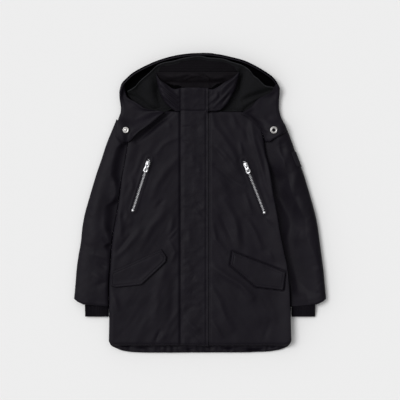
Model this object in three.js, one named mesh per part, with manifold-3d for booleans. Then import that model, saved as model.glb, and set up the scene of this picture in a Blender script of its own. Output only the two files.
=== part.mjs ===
import * as THREE from 'three';
import Module from 'manifold-3d';

// A child's padded parka laid flat on its back, hood spread behind the collar.
// Millimetres. X runs across, Y from hem to hood, Z up from the surface it lies on.
// "left" and "right" are the viewer's, looking down on the front.

const wasm = await Module();
wasm.setup();

// General sizes
const GAP = 0.3; // between pieces at a seam, and where one lies on another
const SEAM_HEIGHT = 10; // where back and front meet at the side seams
const EDGE_CLOTH = 1.2; // cloth at a turned edge
const BACK_LOFT = SEAM_HEIGHT - GAP / 2;
const FRONT_LOFT = 11.5;
const SLEEVE_LOFT = 14;
const CENTRE_X = -13; // where the two fronts meet under the placket

// Outline of the body, a row for each height on the garment.
// fall: how far the front turns down at its side, 1 at a free side and less along the armhole
const BODY_SIDES = [
  { y: -304, left: -201, right: 201, fall: 1 },
  { y: -249, left: -200, right: 199.5, fall: 1 },
  { y: -192, left: -200.5, right: 197.5, fall: 1 },
  { y: -159, left: -199, right: 194.5, fall: 1 },
  { y: -137, left: -197, right: 192, fall: 1 },
  { y: -115, left: -196, right: 187, fall: 1 },
  { y: -93, left: -194, right: 182.5, fall: 1 },
  { y: -64, left: -190.5, right: 176.5, fall: 1 },
  { y: -34, left: -185, right: 172.5, fall: 0.9 },
  { y: -5, left: -180, right: 167, fall: 0.8 },
  { y: 24, left: -176, right: 161.5, fall: 0.7 },
  { y: 54, left: -172, right: 157, fall: 0.55 },
  { y: 83, left: -166.5, right: 151.5, fall: 0.45 },
  { y: 105, left: -162.5, right: 145, fall: 0.45 },
  { y: 134, left: -158.5, right: 140.5, fall: 0.45 },
  { y: 165, left: -157.5, right: 135, fall: 0.6 },
];
const SHOULDER_LINE = [
  { x: -157.5, y: 165 },
  { x: -120, y: 184 },
  { x: -77, y: 200.5 },
  { x: 11, y: 200.5 },
  { x: 92, y: 200.5 },
  { x: 115, y: 186 },
  { x: 135, y: 165 },
];
const FRONT_HEM = [
  { x: -201, y: -304 },
  { x: -197, y: -310 },
  { x: -188, y: -313.5 },
  { x: 188, y: -313.5 },
  { x: 197, y: -310 },
  { x: 201, y: -304 },
];
const BACK_HEM = [
  { x: -201, y: -305 },
  { x: -196, y: -314 },
  { x: -186, y: -320 },
  { x: -171, y: -326 },
  { x: -144, y: -329.5 },
  { x: -118, y: -330.3 },
  { x: -65, y: -330.5 },
  { x: 0, y: -330 },
  { x: 93, y: -330 },
  { x: 120, y: -329 },
  { x: 146, y: -328 },
  { x: 172, y: -324.5 },
  { x: 188, y: -319 },
  { x: 196, y: -313 },
  { x: 201, y: -305 },
];

// Outer edges of the sleeves, a row for each height
const SLEEVE_SIDES = [
  { y: -211, left: -277.3, right: 277.3 },
  { y: -180, left: -274.5, right: 274.5 },
  { y: -149, left: -272, right: 271.5 },
  { y: -118, left: -268, right: 267.5 },
  { y: -87, left: -262.5, right: 263.5 },
  { y: -57, left: -259.5, right: 259.5 },
  { y: -26, left: -254, right: 253.5 },
  { y: 5, left: -245.5, right: 245 },
  { y: 36, left: -236.5, right: 236 },
  { y: 67, left: -227, right: 226.5 },
  { y: 97, left: -216.5, right: 214.5 },
  { y: 128, left: -206.5, right: 204 },
  { y: 159, left: -194, right: 192.5 },
  { y: 181, left: -185, right: 182 },
];
// Distance from the outer corner of the sleeve, and the hem there
const SLEEVE_HEM = [
  { inward: 0, y: -211.5 },
  { inward: 8, y: -217.5 },
  { inward: 21, y: -223.5 },
  { inward: 45, y: -225 },
  { inward: 77, y: -228 },
];
const SLEEVE_TOP = { outer: 184, inner: 166 };
const SLEEVE_SEAM_GAP = 0.9;

// Rib cuffs, flattened tubes that reach into the sleeve hems
const CUFF = {
  inner: 204, outer: 253.5, tuck: -211, middle: -232, end: -251, wall: 2.5, ribs: 20, ribRise: 0.45, droop: 4,
};
// Space between the sleeve halves for the cuff: how far it begins and fades out across, and up the sleeve
const CUFF_ROOM = { start: 2.8, ramp: 1.6, past: 11, fade: 8, above: 44, blend: 28, slack: 0.3 };

// Largest folds of the fronts and sleeves: a soft ridge (or a hollow, below 0) from one point to another
const FRONT_FOLDS = [
  { x1: -48, y1: 112, x2: -90, y2: 12, width: 15, height: 2.4 },
  { x1: -90, y1: 12, x2: -112, y2: -80, width: 16, height: 1.8 },
  { x1: -60, y1: -60, x2: -74, y2: -98, width: 12, height: 1.6 },
  { x1: -182, y1: -188, x2: -178, y2: -228, width: 13, height: 1.8 },
  { x1: -95, y1: -200, x2: -60, y2: -292, width: 15, height: 1.8 },
  { x1: -92, y1: -288, x2: -99, y2: -306, width: 9, height: -2 },
  { x1: -66, y1: 60, x2: -78, y2: -20, width: 13, height: -1.6 },
  { x1: 34, y1: 182, x2: 78, y2: 92, width: 13, height: 2.2 },
  { x1: 30, y1: -24, x2: 84, y2: -90, width: 13, height: 2.2 },
  { x1: 40, y1: -134, x2: 98, y2: -186, width: 13, height: 2 },
  { x1: 24, y1: -172, x2: 58, y2: -262, width: 13, height: 1.8 },
  { x1: 150, y1: -256, x2: 140, y2: -294, width: 13, height: 1.8 },
  { x1: 60, y1: 30, x2: 110, y2: -60, width: 14, height: -1.8 },
  { x1: 120, y1: 130, x2: 128, y2: 90, width: 13, height: -1.6 },
];
const SLEEVE_FOLDS = [
  { x1: -188, y1: 138, x2: -172, y2: 66, width: 10, height: -3 },
  { x1: -195, y1: 0, x2: -192, y2: -56, width: 11, height: -3.2 },
  { x1: -212, y1: -78, x2: -200, y2: -98, width: 10, height: -2.6 },
  { x1: -226, y1: -126, x2: -207, y2: -134, width: 9, height: -2.2 },
  { x1: -228, y1: -168, x2: -210, y2: -172, width: 9, height: -2 },
  { x1: -216, y1: 60, x2: -236, y2: -40, width: 15, height: 2 },
  { x1: 180, y1: -62, x2: 200, y2: -38, width: 9, height: -3 },
  { x1: 196, y1: -164, x2: 206, y2: -148, width: 9, height: -2.4 },
  { x1: 210, y1: -90, x2: 226, y2: -116, width: 10, height: -2.2 },
  { x1: 176, y1: -22, x2: 200, y2: 30, width: 11, height: 2.4 },
  { x1: 168, y1: 116, x2: 166, y2: 40, width: 10, height: -2.8 },
  { x1: 208, y1: 40, x2: 226, y2: -50, width: 15, height: 2 },
];

// Hood, spread on the surface. rim: height of the crown edge there
const HOOD_ARC = [
  { x: -176, y: 195, rim: 9 },
  { x: -174, y: 208, rim: 9 },
  { x: -176, y: 221, rim: 9 },
  { x: -178, y: 236, rim: 10 },
  { x: -177, y: 249, rim: 13 },
  { x: -173, y: 262, rim: 20 },
  { x: -163, y: 273.5, rim: 25 },
  { x: -148, y: 286.5, rim: 27 },
  { x: -124, y: 300, rim: 28 },
  { x: -94.5, y: 313, rim: 28 },
  { x: -65, y: 322, rim: 28 },
  { x: -38.5, y: 327, rim: 28 },
  { x: -12, y: 329.5, rim: 28 },
  { x: 14, y: 330, rim: 28 },
  { x: 40.5, y: 327, rim: 28 },
  { x: 67, y: 321.5, rim: 28 },
  { x: 98, y: 313, rim: 28 },
  { x: 125, y: 300, rim: 28 },
  { x: 147.5, y: 286.5, rim: 27 },
  { x: 163.5, y: 273.5, rim: 24 },
  { x: 172, y: 260, rim: 17 },
  { x: 175.5, y: 247, rim: 11 },
  { x: 174.5, y: 234, rim: 9 },
  { x: 173.5, y: 221, rim: 9 },
  { x: 173.5, y: 208, rim: 9 },
  { x: 175.5, y: 195, rim: 9 },
];
// Lower edge of the hood shell, just behind the shoulder line
const HOOD_BASE = [
  { x: -171, y: 189 },
  { x: -157, y: 172 },
  { x: -120, y: 191 },
  { x: -77, y: 206 },
  { x: 11, y: 206 },
  { x: 95, y: 206 },
  { x: 118, y: 192 },
  { x: 139, y: 173 },
  { x: 170, y: 189 },
];
// Section through the crown edge: distance in from the outline, share of the rim's height
const RIM_SECTION = [
  { inset: 0, share: 0.45 },
  { inset: 1.5, share: 0.85 },
  { inset: 3.2, share: 1 },
  { inset: 5.2, share: 0.85 },
  { inset: 6.4, share: 0.2 },
  { inset: 12, share: 0.2 },
];
const HOOD_SHELL_CLOTH = 4.5;
// Hood lining, a row for each place across: its folded top edge and its lower edge
const LINING_SPAN = [
  { x: -159.5, top: 247, bottom: 237 },
  { x: -152, top: 250.5, bottom: 229 },
  { x: -143, top: 256, bottom: 219 },
  { x: -132, top: 269, bottom: 211 },
  { x: -117, top: 282, bottom: 197 },
  { x: -106, top: 292, bottom: 190 },
  { x: -92.5, top: 304.5, bottom: 189 },
  { x: -79.5, top: 309.5, bottom: 198.5 },
  { x: -57.5, top: 313.5, bottom: 206.5 },
  { x: -35.5, top: 319.5, bottom: 206.5 },
  { x: 0, top: 324, bottom: 206.5 },
  { x: 17.5, top: 320.5, bottom: 206.5 },
  { x: 48, top: 318, bottom: 204 },
  { x: 70, top: 311, bottom: 202 },
  { x: 92, top: 304, bottom: 201 },
  { x: 103, top: 297.5, bottom: 203 },
  { x: 110, top: 291, bottom: 205 },
  { x: 116.5, top: 282, bottom: 208 },
  { x: 127.5, top: 273.5, bottom: 216 },
  { x: 136, top: 264.5, bottom: 223 },
  { x: 145, top: 258, bottom: 229 },
  { x: 154, top: 257, bottom: 234 },
  { x: 161.5, top: 256, bottom: 245 },
];
const LINING = {
  cloth: 4, floor: 5, sideBase: 14, sideTop: 27, edgeFall: 10, edgeRadius: 6, middle: -5, neckHalf: 78, blend: 24,
  tipRadius: 14, tipCloth: 3,
};

// Layers at the neck: top of the lining, the back half and the front half of the collar
const NECK_LAYERS = [
  { y: 200, lining: 8.4, back: 12.2, front: 20 },
  { y: 220, lining: 9.4, back: 13.4, front: 22.5 },
  { y: 237, lining: 10.6, back: 14.6, front: 25 },
  { y: 252, lining: 12, back: 16, front: 27 },
  { y: 262, lining: 13.5, back: 17.5, front: 29 },
  { y: 275, lining: 18.5, back: 22.5, front: 31.5 },
  { y: 287, lining: 22.8, back: 27, front: 33 },
  { y: 300, lining: 25, back: 28, front: 33 },
  { y: 325, lining: 27, back: 28, front: 33 },
];
const COLLAR_SIDES = [
  { y: 202, left: -77, right: 48 },
  { y: 208.5, left: -78.5, right: 57 },
  { y: 219.5, left: -81.5, right: 68 },
  { y: 237, left: -88, right: 72.5 },
  { y: 252.5, left: -91.5, right: 79 },
  { y: 270, left: -95, right: 83.5 },
  { y: 287, left: -98, right: 86.5 },
];
const COLLAR_FRONT_TOP = [
  { x: -98, y: 285.5 },
  { x: -88, y: 270 },
  { x: -75, y: 261 },
  { x: -55, y: 249.5 },
  { x: -42, y: 252 },
  { x: -13.5, y: 252.5 },
  { x: 17.5, y: 250.5 },
  { x: 26, y: 249 },
  { x: 39.5, y: 254.5 },
  { x: 52.5, y: 263.5 },
  { x: 68, y: 272 },
  { x: 86.5, y: 287.5 },
];
const COLLAR = { backTop: 286, backBottom: 204, frontBottom: 201.2, cloth: 3.6 };
const HANGER = { x1: -35.5, y1: 271, x2: 19.5, y2: 270, rise: 9, width: 3.2, thick: 1.4, base: 12 };

// Hood flaps over the shoulders, a row for each height
const FLAP_LEFT = [
  { y: 132.5, outer: -170.5, inner: -156.5 },
  { y: 139, outer: -177, inner: -147.5 },
  { y: 147, outer: -180.5, inner: -141 },
  { y: 155.5, outer: -181.5, inner: -132 },
  { y: 164.5, outer: -181.5, inner: -121 },
  { y: 173.5, outer: -181.5, inner: -106 },
  { y: 180, outer: -180.5, inner: -98 },
  { y: 185.5, outer: -179.5, inner: -96 },
  { y: 191, outer: -178, inner: -103.5 },
  { y: 199.5, outer: -175, inner: -113.5 },
  { y: 208.5, outer: -174.5, inner: -121 },
  { y: 217.5, outer: -175.5, inner: -128 },
  { y: 224, outer: -176.5, inner: -140 },
  { y: 230.5, outer: -177.2, inner: -152 },
  { y: 237, outer: -177.5, inner: -157.5 },
  { y: 248, outer: -177, inner: -162 },
  { y: 259, outer: -173, inner: -166 },
];
const FLAP_RIGHT = [
  { y: 133.5, outer: 152.5, inner: 143 },
  { y: 140.5, outer: 163.5, inner: 141 },
  { y: 147, outer: 176, inner: 139 },
  { y: 153.5, outer: 185, inner: 136 },
  { y: 159, outer: 189.5, inner: 133 },
  { y: 166.5, outer: 188.5, inner: 127.5 },
  { y: 175.5, outer: 184.5, inner: 118.5 },
  { y: 184.5, outer: 180, inner: 107.5 },
  { y: 191, outer: 177.5, inner: 97.5 },
  { y: 196.5, outer: 176, inner: 90 },
  { y: 200, outer: 175, inner: 95.5 },
  { y: 206.5, outer: 173.8, inner: 106.5 },
  { y: 215, outer: 173.6, inner: 115.5 },
  { y: 224, outer: 173.8, inner: 123 },
  { y: 230.5, outer: 174.2, inner: 130.5 },
  { y: 237, outer: 174.7, inner: 144 },
  { y: 243.5, outer: 175, inner: 156 },
  { y: 250.5, outer: 175, inner: 160.5 },
  { y: 259, outer: 172, inner: 165 },
];
const FLAP = { loft: 6.5, edge: 2.2, radius: 8, base: 9 };

// Placket over the front closing
const PLACKET = {
  left: -43, right: 17.5, bottom: -315.5, top: 252, slant: 4, thick: 3.4, seamThick: 1.6, seamWidth: 9,
  edgeShare: 0.7, edgeWidth: 5, base: 16,
};

// Lower pocket flaps, columns from the outer to the inner end: top edge and bottom edge
const POCKET_FLAP_LEFT = [
  { topX: -195.6, topY: -152, bottomX: -196, bottomY: -182 },
  { topX: -184, topY: -146.7, bottomX: -185.5, bottomY: -186 },
  { topX: -158, topY: -135, bottomX: -157, bottomY: -183 },
  { topX: -130, topY: -122, bottomX: -128.5, bottomY: -180 },
  { topX: -107, topY: -111.5, bottomX: -101, bottomY: -154.5 },
  { topX: -89, topY: -103.4, bottomX: -74.5, bottomY: -129.5 },
  { topX: -84.5, topY: -101.5, bottomX: -73, bottomY: -119 },
];
const POCKET_FLAP_RIGHT = [
  { topX: 70.5, topY: -106.5, bottomX: 66, bottomY: -137 },
  { topX: 76, topY: -108.5, bottomX: 71, bottomY: -141 },
  { topX: 97, topY: -116.7, bottomX: 95, bottomY: -161 },
  { topX: 124, topY: -127, bottomX: 122.5, bottomY: -185 },
  { topX: 152, topY: -138, bottomX: 152, bottomY: -188.5 },
  { topX: 182, topY: -149.7, bottomX: 179, bottomY: -191.8 },
  { topX: 188, topY: -152, bottomX: 183, bottomY: -192.4 },
];
const POCKET_FLAP = { thick: 2.6, edge: 1.2 };

// Chest zips: x, y of the top stop and of the bottom stop
const CHEST_ZIPS = {
  left: { topX: -111.5, topY: 95, endX: -146.5, endY: -14 },
  right: { topX: 96.5, topY: 91.5, endX: 139.8, endY: -19 },
};
const ZIP = { width: 5, rise: 1.8, flatReach: 15 };
const ZIP_STOP = { length: 5, width: 7, rise: 2.6 };
const SLIDER = {
  fromTop: 11, length: 16, width: 9, thick: 3.2, endThick: 1.6,
  bridgeWidth: 3, bridgeSpan: 5, bridgeRise: 3.8, bridgeThick: 1.2,
};
// The tab hangs on a bar that turns under the slider's bridge
const PULL = {
  length: 19, width: 10.5, neckWidth: 7.5, thick: 1.4, bar: 1.4, eyeEnd: 5.6, eyeWidth: 4.2, hole: 1.7, tilt: 7,
};
const PULL_PIVOT_HEIGHT = SLIDER.thick + (SLIDER.bridgeRise - SLIDER.bridgeThick) / 2;

// Snap parts on the hood flaps
const SNAP = { leftX: -162.5, rightX: 161, y: 159, studRadius: 7, socketRadius: 9, holeRadius: 2, rise: 2.2 };
// Bare patch on the right upper arm: a small label panel that stands a little over the sleeve's edge
const ARM_PATCH = { top: 112, bottom: 79, across: 12, overhang: 2.2, thick: 1.4 };

const COLOURS = {
  shell: 0x1f1d22, lining: 0x151617, rib: 0x17161a, metal: 0xc9c9cd, snap: 0xd8d5d0,
};

// Places tried along each side of a triangle that rests on a sheet
const PROBES = 10;
const DRAPE_ROUNDS = 12;
const SPAN_ROUNDS = 3;

const mix = (a, b, t) => a + (b - a) * t;
const clamp = (value, low, high) => Math.min(high, Math.max(low, value));
const ease = (t) => {
  const s = clamp(t, 0, 1);
  return s * s * (3 - 2 * s);
};

// A smooth curve through two columns of a table, without overshoot
function curve(table, from, to) {
  const xs = table.map((row) => row[from]);
  const ys = table.map((row) => row[to]);
  const last = xs.length - 1;
  const slope = xs.slice(0, last).map((x, i) => (ys[i + 1] - ys[i]) / (xs[i + 1] - x));
  const tangent = xs.map((x, i) => {
    if (i === 0) return slope[0];
    if (i === last) return slope[last - 1];
    if (slope[i - 1] * slope[i] <= 0) return 0;
    return (2 * slope[i - 1] * slope[i]) / (slope[i - 1] + slope[i]);
  });
  return (x) => {
    if (x <= xs[0]) return ys[0];
    if (x >= xs[last]) return ys[last];
    let i = 0;
    while (x > xs[i + 1]) i += 1;
    const h = xs[i + 1] - xs[i];
    const t = (x - xs[i]) / h;
    const t2 = t * t;
    const t3 = t2 * t;
    return (2 * t3 - 3 * t2 + 1) * ys[i] + (t3 - 2 * t2 + t) * h * tangent[i]
      + (3 * t2 - 2 * t3) * ys[i + 1] + (t3 - t2) * h * tangent[i + 1];
  };
}

// Straight lines between the rows of a table
function polyline(table, from, to) {
  return (x) => {
    let i = 0;
    while (i < table.length - 2 && x > table[i + 1][from]) i += 1;
    const t = clamp((x - table[i][from]) / (table[i + 1][from] - table[i][from]), 0, 1);
    return mix(table[i][to], table[i + 1][to], t);
  };
}

// Quarter-round rise from 0 at an edge to 1 at the radius
const roundRise = (distance, radius) => {
  const t = clamp(1 - distance / radius, 0, 1);
  return Math.sqrt(1 - t * t);
};

function foldHeight(folds, x, y) {
  let height = 0;
  for (const fold of folds) {
    const dx = fold.x2 - fold.x1;
    const dy = fold.y2 - fold.y1;
    const along = clamp(((x - fold.x1) * dx + (y - fold.y1) * dy) / (dx * dx + dy * dy), 0, 1);
    const away = Math.hypot(fold.x1 + along * dx - x, fold.y1 + along * dy - y) / fold.width;
    height += fold.height * Math.exp(-away * away);
  }
  return height;
}

// Parameters from 0 to 1, closer together at the ends when crowd is near 1
function spread(count, crowdStart, crowdEnd) {
  const list = [];
  for (let i = 0; i <= count; i += 1) {
    const t = i / count;
    const start = t * t;
    const end = 1 - (1 - t) * (1 - t);
    const both = ease(t);
    let value = t;
    if (crowdStart && crowdEnd) value = mix(t, both, Math.max(crowdStart, crowdEnd));
    else if (crowdStart) value = mix(t, start, crowdStart);
    else if (crowdEnd) value = mix(t, end, crowdEnd);
    list.push(value);
  }
  return list;
}

// A cloth wall over a grid of points: it has a lower and an upper face and a rim all round.
// The sheets named in "on" carry it, so its lower face is raised clear of them.
function clothSheet({ us, vs, plan, bottom, top, on = [], cloth = 0 }) {
  const columns = us.length;
  const rows = vs.length;
  const lower = [];
  const upper = [];
  for (let j = 0; j < rows; j += 1) {
    for (let i = 0; i < columns; i += 1) {
      const [x, y] = plan(us[i], vs[j]);
      lower.push([x, y, bottom(x, y, us[i], vs[j])]);
    }
  }
  const cells = [];
  for (let j = 0; j < rows - 1; j += 1) {
    for (let i = 0; i < columns - 1; i += 1) {
      const a = j * columns + i;
      cells.push([a, a + 1, a + columns + 1], [a, a + columns + 1, a + columns]);
    }
  }
  if (on.length > 0) drape(lower, cells, columns, rows, on);
  lower.forEach(([x, y, z], k) => {
    const i = k % columns;
    const j = Math.floor(k / columns);
    const wanted = top(x, y, us[i], vs[j], z);
    upper.push([x, y, Math.max(wanted, z + cloth)]);
  });
  return { lower, upper, cells, columns, rows };
}

const triangleShare = (p, a, b, c) => {
  const area = (b[0] - a[0]) * (c[1] - a[1]) - (c[0] - a[0]) * (b[1] - a[1]);
  if (Math.abs(area) < 1e-9) return null;
  const s = ((b[0] - p[0]) * (c[1] - p[1]) - (c[0] - p[0]) * (b[1] - p[1])) / area;
  const t = ((c[0] - p[0]) * (a[1] - p[1]) - (a[0] - p[0]) * (c[1] - p[1])) / area;
  return [s, t, 1 - s - t];
};

// Height of a sheet's upper face at a point, or null beside it
function heightOf(sheet, x, y) {
  let height = null;
  for (const [ia, ib, ic] of sheet.cells) {
    const a = sheet.upper[ia];
    const b = sheet.upper[ib];
    const c = sheet.upper[ic];
    if (x < Math.min(a[0], b[0], c[0]) || x > Math.max(a[0], b[0], c[0])) continue;
    if (y < Math.min(a[1], b[1], c[1]) || y > Math.max(a[1], b[1], c[1])) continue;
    const share = triangleShare([x, y], a, b, c);
    if (!share || Math.min(...share) < -1e-6) continue;
    const z = share[0] * a[2] + share[1] * b[2] + share[2] * c[2];
    if (height === null || z > height) height = z;
  }
  return height;
}

// Lays a lower face over the sheets that carry it: it clears them by the gap and spans their steps smoothly
function drape(points, cells, columns, rows, carriers) {
  const contacts = cells.flatMap((cell) => carriers.flatMap((carrier) => contactsOf(cell, points, carrier)));
  for (let round = 0; round < DRAPE_ROUNDS; round += 1) {
    if (round > 0 && round <= SPAN_ROUNDS) span(points, columns, rows);
    for (const { cell, share, height } of contacts) {
      const z = share[0] * points[cell[0]][2] + share[1] * points[cell[1]][2] + share[2] * points[cell[2]][2];
      if (z >= height - 1e-4) continue;
      const room = cell.map((k) => Math.max(0, height - points[k][2]));
      const reach = room[0] * share[0] + room[1] * share[1] + room[2] * share[2];
      cell.forEach((k, corner) => {
        points[k][2] += (room[corner] * (height - z)) / reach;
      });
    }
  }
}

// Places where a triangle lies over a sheet: its corners' shares there and the least height
function contactsOf(cell, points, carrier) {
  const [a, b, c] = cell.map((k) => points[k]);
  const contacts = [];
  for (let i = 0; i <= PROBES; i += 1) {
    for (let j = 0; i + j <= PROBES; j += 1) {
      const share = [1 - (i + j) / PROBES, i / PROBES, j / PROBES];
      const x = share[0] * a[0] + share[1] * b[0] + share[2] * c[0];
      const y = share[0] * a[1] + share[1] * b[1] + share[2] * c[1];
      const below = heightOf(carrier, x, y);
      if (below !== null) contacts.push({ cell, share, height: below + GAP });
    }
  }
  for (const [x, y, z] of carrier.upper) {
    if (x < Math.min(a[0], b[0], c[0]) || x > Math.max(a[0], b[0], c[0])) continue;
    if (y < Math.min(a[1], b[1], c[1]) || y > Math.max(a[1], b[1], c[1])) continue;
    const share = triangleShare([x, y], a, b, c);
    if (share && Math.min(...share) >= 0) contacts.push({ cell, share, height: z + GAP });
  }
  return contacts;
}

// Lifts each point to the mean of its neighbours when it lies lower; a rim point looks along the rim only
function span(points, columns, rows) {
  const before = points.map((point) => point[2]);
  const at = (i, j) => before[j * columns + i];
  for (let j = 0; j < rows; j += 1) {
    for (let i = 0; i < columns; i += 1) {
      const rimX = i === 0 || i === columns - 1;
      const rimY = j === 0 || j === rows - 1;
      if (rimX && rimY) continue;
      const across = rimX ? null : (at(i - 1, j) + at(i + 1, j)) / 2;
      const along = rimY ? null : (at(i, j - 1) + at(i, j + 1)) / 2;
      let mean = across === null ? along : across;
      if (across !== null && along !== null) mean = (across + along) / 2;
      const point = points[j * columns + i];
      point[2] = Math.max(point[2], mean);
    }
  }
}

function pieceFrom(name, positions, faces, colour, roughness, metalness) {
  const geometry = new THREE.BufferGeometry();
  geometry.setAttribute('position', new THREE.Float32BufferAttribute(positions.flat(), 3));
  geometry.setIndex(outward(positions, faces).flat());
  geometry.computeVertexNormals();
  const material = new THREE.MeshStandardMaterial({ color: colour, roughness, metalness });
  const mesh = new THREE.Mesh(geometry, material);
  mesh.name = name;
  return mesh;
}

// Turns all faces over when they enclose a negative volume
function outward(positions, faces) {
  let volume = 0;
  for (const [ia, ib, ic] of faces) {
    const [a, b, c] = [positions[ia], positions[ib], positions[ic]];
    volume += a[0] * (b[1] * c[2] - b[2] * c[1]) + a[1] * (b[2] * c[0] - b[0] * c[2])
      + a[2] * (b[0] * c[1] - b[1] * c[0]);
  }
  return volume > 0 ? faces : faces.map(([a, b, c]) => [a, c, b]);
}

function sheetMesh(name, sheet, colour) {
  const { lower, upper, cells, columns, rows } = sheet;
  const count = lower.length;
  const faces = [];
  for (const [a, b, c] of cells) {
    faces.push([a + count, b + count, c + count], [a, c, b]);
  }
  const border = [];
  for (let i = 0; i < columns; i += 1) border.push(i);
  for (let j = 1; j < rows; j += 1) border.push(j * columns + columns - 1);
  for (let i = columns - 2; i >= 0; i -= 1) border.push((rows - 1) * columns + i);
  for (let j = rows - 2; j >= 1; j -= 1) border.push(j * columns);
  border.forEach((a, k) => {
    const b = border[(k + 1) % border.length];
    faces.push([a, b, b + count], [a, b + count, a + count]);
  });
  return pieceFrom(name, [...lower, ...upper], faces, colour, 0.62, 0);
}

// Plan of a panel between two side curves and two end curves
function betweenEdges(sideA, sideB, endA, endB) {
  return (u, v) => {
    let x = mix(sideA(0), sideB(0), u);
    let y = 0;
    for (let round = 0; round < 6; round += 1) {
      y = mix(endA(x), endB(x), v);
      x = mix(sideA(y), sideB(y), u);
    }
    return [x, y];
  };
}

const bodyLeft = curve(BODY_SIDES, 'y', 'left');
const bodyRight = curve(BODY_SIDES, 'y', 'right');
const bodyFall = curve(BODY_SIDES, 'y', 'fall');
const shoulder = polyline(SHOULDER_LINE, 'x', 'y');
const frontHem = polyline(FRONT_HEM, 'x', 'y');
const backHem = curve(BACK_HEM, 'x', 'y');

function backPanel() {
  const plan = betweenEdges(bodyLeft, bodyRight, backHem, shoulder);
  const sideRadius = 12;
  const hemRadius = 7;
  return clothSheet({
    us: spread(10, 0.85, 0.85),
    vs: spread(14, 0.75, 0.75),
    plan,
    bottom: (x, y) => {
      const side = Math.min(x - bodyLeft(y), bodyRight(y) - x);
      const end = Math.min(y - backHem(x), shoulder(x) - y);
      const rise = Math.min(roundRise(side, sideRadius), roundRise(end, hemRadius));
      return (BACK_LOFT - EDGE_CLOTH) * (1 - rise) * (side < sideRadius ? 1 : 0.5);
    },
    top: (x, y) => {
      const hemLine = y - frontHem(x);
      return hemLine > 0 ? BACK_LOFT : BACK_LOFT - 1.5 * ease(-hemLine / 12);
    },
    cloth: EDGE_CLOTH,
  });
}

// How the fronts fall at their edges: radius of each rounded edge and the share of the height lost there
const FRONT_EDGES = {
  side: { seamed: 7, free: 15 },
  hem: { radius: 9, fall: 0.55 },
  neck: { radius: 10, fall: 0.25 },
  shoulder: { fall: 0.6, middle: 8, from: 88 },
  placket: { reach: 34, calm: 0.6 },
  zip: { flat: 4 },
};

// Height of the outer face of the fronts
function frontHeight(x, y) {
  const edges = FRONT_EDGES;
  const side = Math.min(x - bodyLeft(y), bodyRight(y) - x);
  const hem = y - frontHem(x);
  const neck = shoulder(x) - y;
  const zip = Math.min(zipDistance('left', x, y), zipDistance('right', x, y));
  const calm = ease((zip - edges.zip.flat) / ZIP.flatReach);
  const placketCalm = 1 - edges.placket.calm * ease(1 - Math.abs(x - CENTRE_X) / edges.placket.reach);
  const loft = FRONT_LOFT + foldHeight(FRONT_FOLDS, x, y) * calm * placketCalm;
  const fall = bodyFall(y);
  const sideRise = 1 - fall * (1 - roundRise(side, mix(edges.side.seamed, edges.side.free, fall)));
  const hemRise = 1 - edges.hem.fall * (1 - roundRise(hem, edges.hem.radius));
  const onShoulder = Math.abs(x - edges.shoulder.middle) > edges.shoulder.from;
  const neckFall = onShoulder ? edges.shoulder.fall : edges.neck.fall;
  const neckRise = 1 - neckFall * (1 - roundRise(neck, edges.neck.radius));
  return SEAM_HEIGHT + GAP / 2 + EDGE_CLOTH + (loft - EDGE_CLOTH) * sideRise * hemRise * neckRise;
}

function zipDistance(side, x, y) {
  const zip = CHEST_ZIPS[side];
  const dx = zip.endX - zip.topX;
  const dy = zip.endY - zip.topY;
  const along = clamp(((x - zip.topX) * dx + (y - zip.topY) * dy) / (dx * dx + dy * dy), 0, 1);
  return Math.hypot(zip.topX + along * dx - x, zip.topY + along * dy - y);
}

function frontPanel(side) {
  const centre = CENTRE_X + (side === 'left' ? -GAP / 2 : GAP / 2);
  const outer = side === 'left' ? bodyLeft : bodyRight;
  const plan = side === 'left'
    ? betweenEdges(outer, () => centre, frontHem, shoulder)
    : betweenEdges(() => centre, outer, frontHem, shoulder);
  return clothSheet({
    us: side === 'left' ? spread(10, 0.6, 0) : spread(10, 0, 0.6),
    vs: spread(23, 0.35, 0.35),
    plan,
    bottom: () => SEAM_HEIGHT + GAP / 2,
    top: (x, y) => frontHeight(x, y),
    cloth: EDGE_CLOTH,
  });
}

// The cuff's middle height droops from the sleeve hem to its free end
function cuffMiddle(y) {
  return SEAM_HEIGHT - CUFF.droop * ease((SLEEVE_HEM[4].y - y) / (SLEEVE_HEM[4].y - CUFF.end));
}

function cuffRing(y, wallInset, count) {
  const points = [];
  const halfWide = (CUFF.outer - CUFF.inner) / 2 - wallInset;
  const centre = (CUFF.outer + CUFF.inner) / 2;
  const halfThick = wallInset > 0 ? GAP / 2 + 0.1 : CUFF.wall;
  for (let k = 0; k < count; k += 1) {
    const angle = (2 * Math.PI * k) / count;
    const c = Math.cos(angle);
    const s = Math.sin(angle);
    const rib = wallInset > 0 ? 0 : CUFF.ribRise * (k % 2) * Math.sqrt(Math.abs(s));
    const x = centre + halfWide * Math.sign(c) * Math.abs(c) ** 0.75;
    const z = cuffMiddle(y) + Math.sign(s) * (halfThick * Math.abs(s) ** 0.5 + rib);
    points.push([x, y, z]);
  }
  return points;
}

function cuff(side) {
  const mirror = side === 'left' ? -1 : 1;
  const count = CUFF.ribs * 2;
  const stations = [CUFF.tuck, CUFF.middle, CUFF.end];
  const outside = stations.map((y) => cuffRing(y, 0, count));
  const inside = stations.map((y) => cuffRing(y, CUFF.wall, count));
  const rings = [...outside, ...inside.reverse()];
  const positions = rings.flat().map(([x, y, z]) => [x * mirror, y, z]);
  const faces = [];
  rings.forEach((ring, r) => {
    const next = (r + 1) % rings.length;
    for (let k = 0; k < count; k += 1) {
      const n = (k + 1) % count;
      const [a, b, c, d] = [r * count + k, r * count + n, next * count + n, next * count + k];
      faces.push([a, b, c], [a, c, d]);
    }
  });
  return { positions, faces };
}

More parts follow.
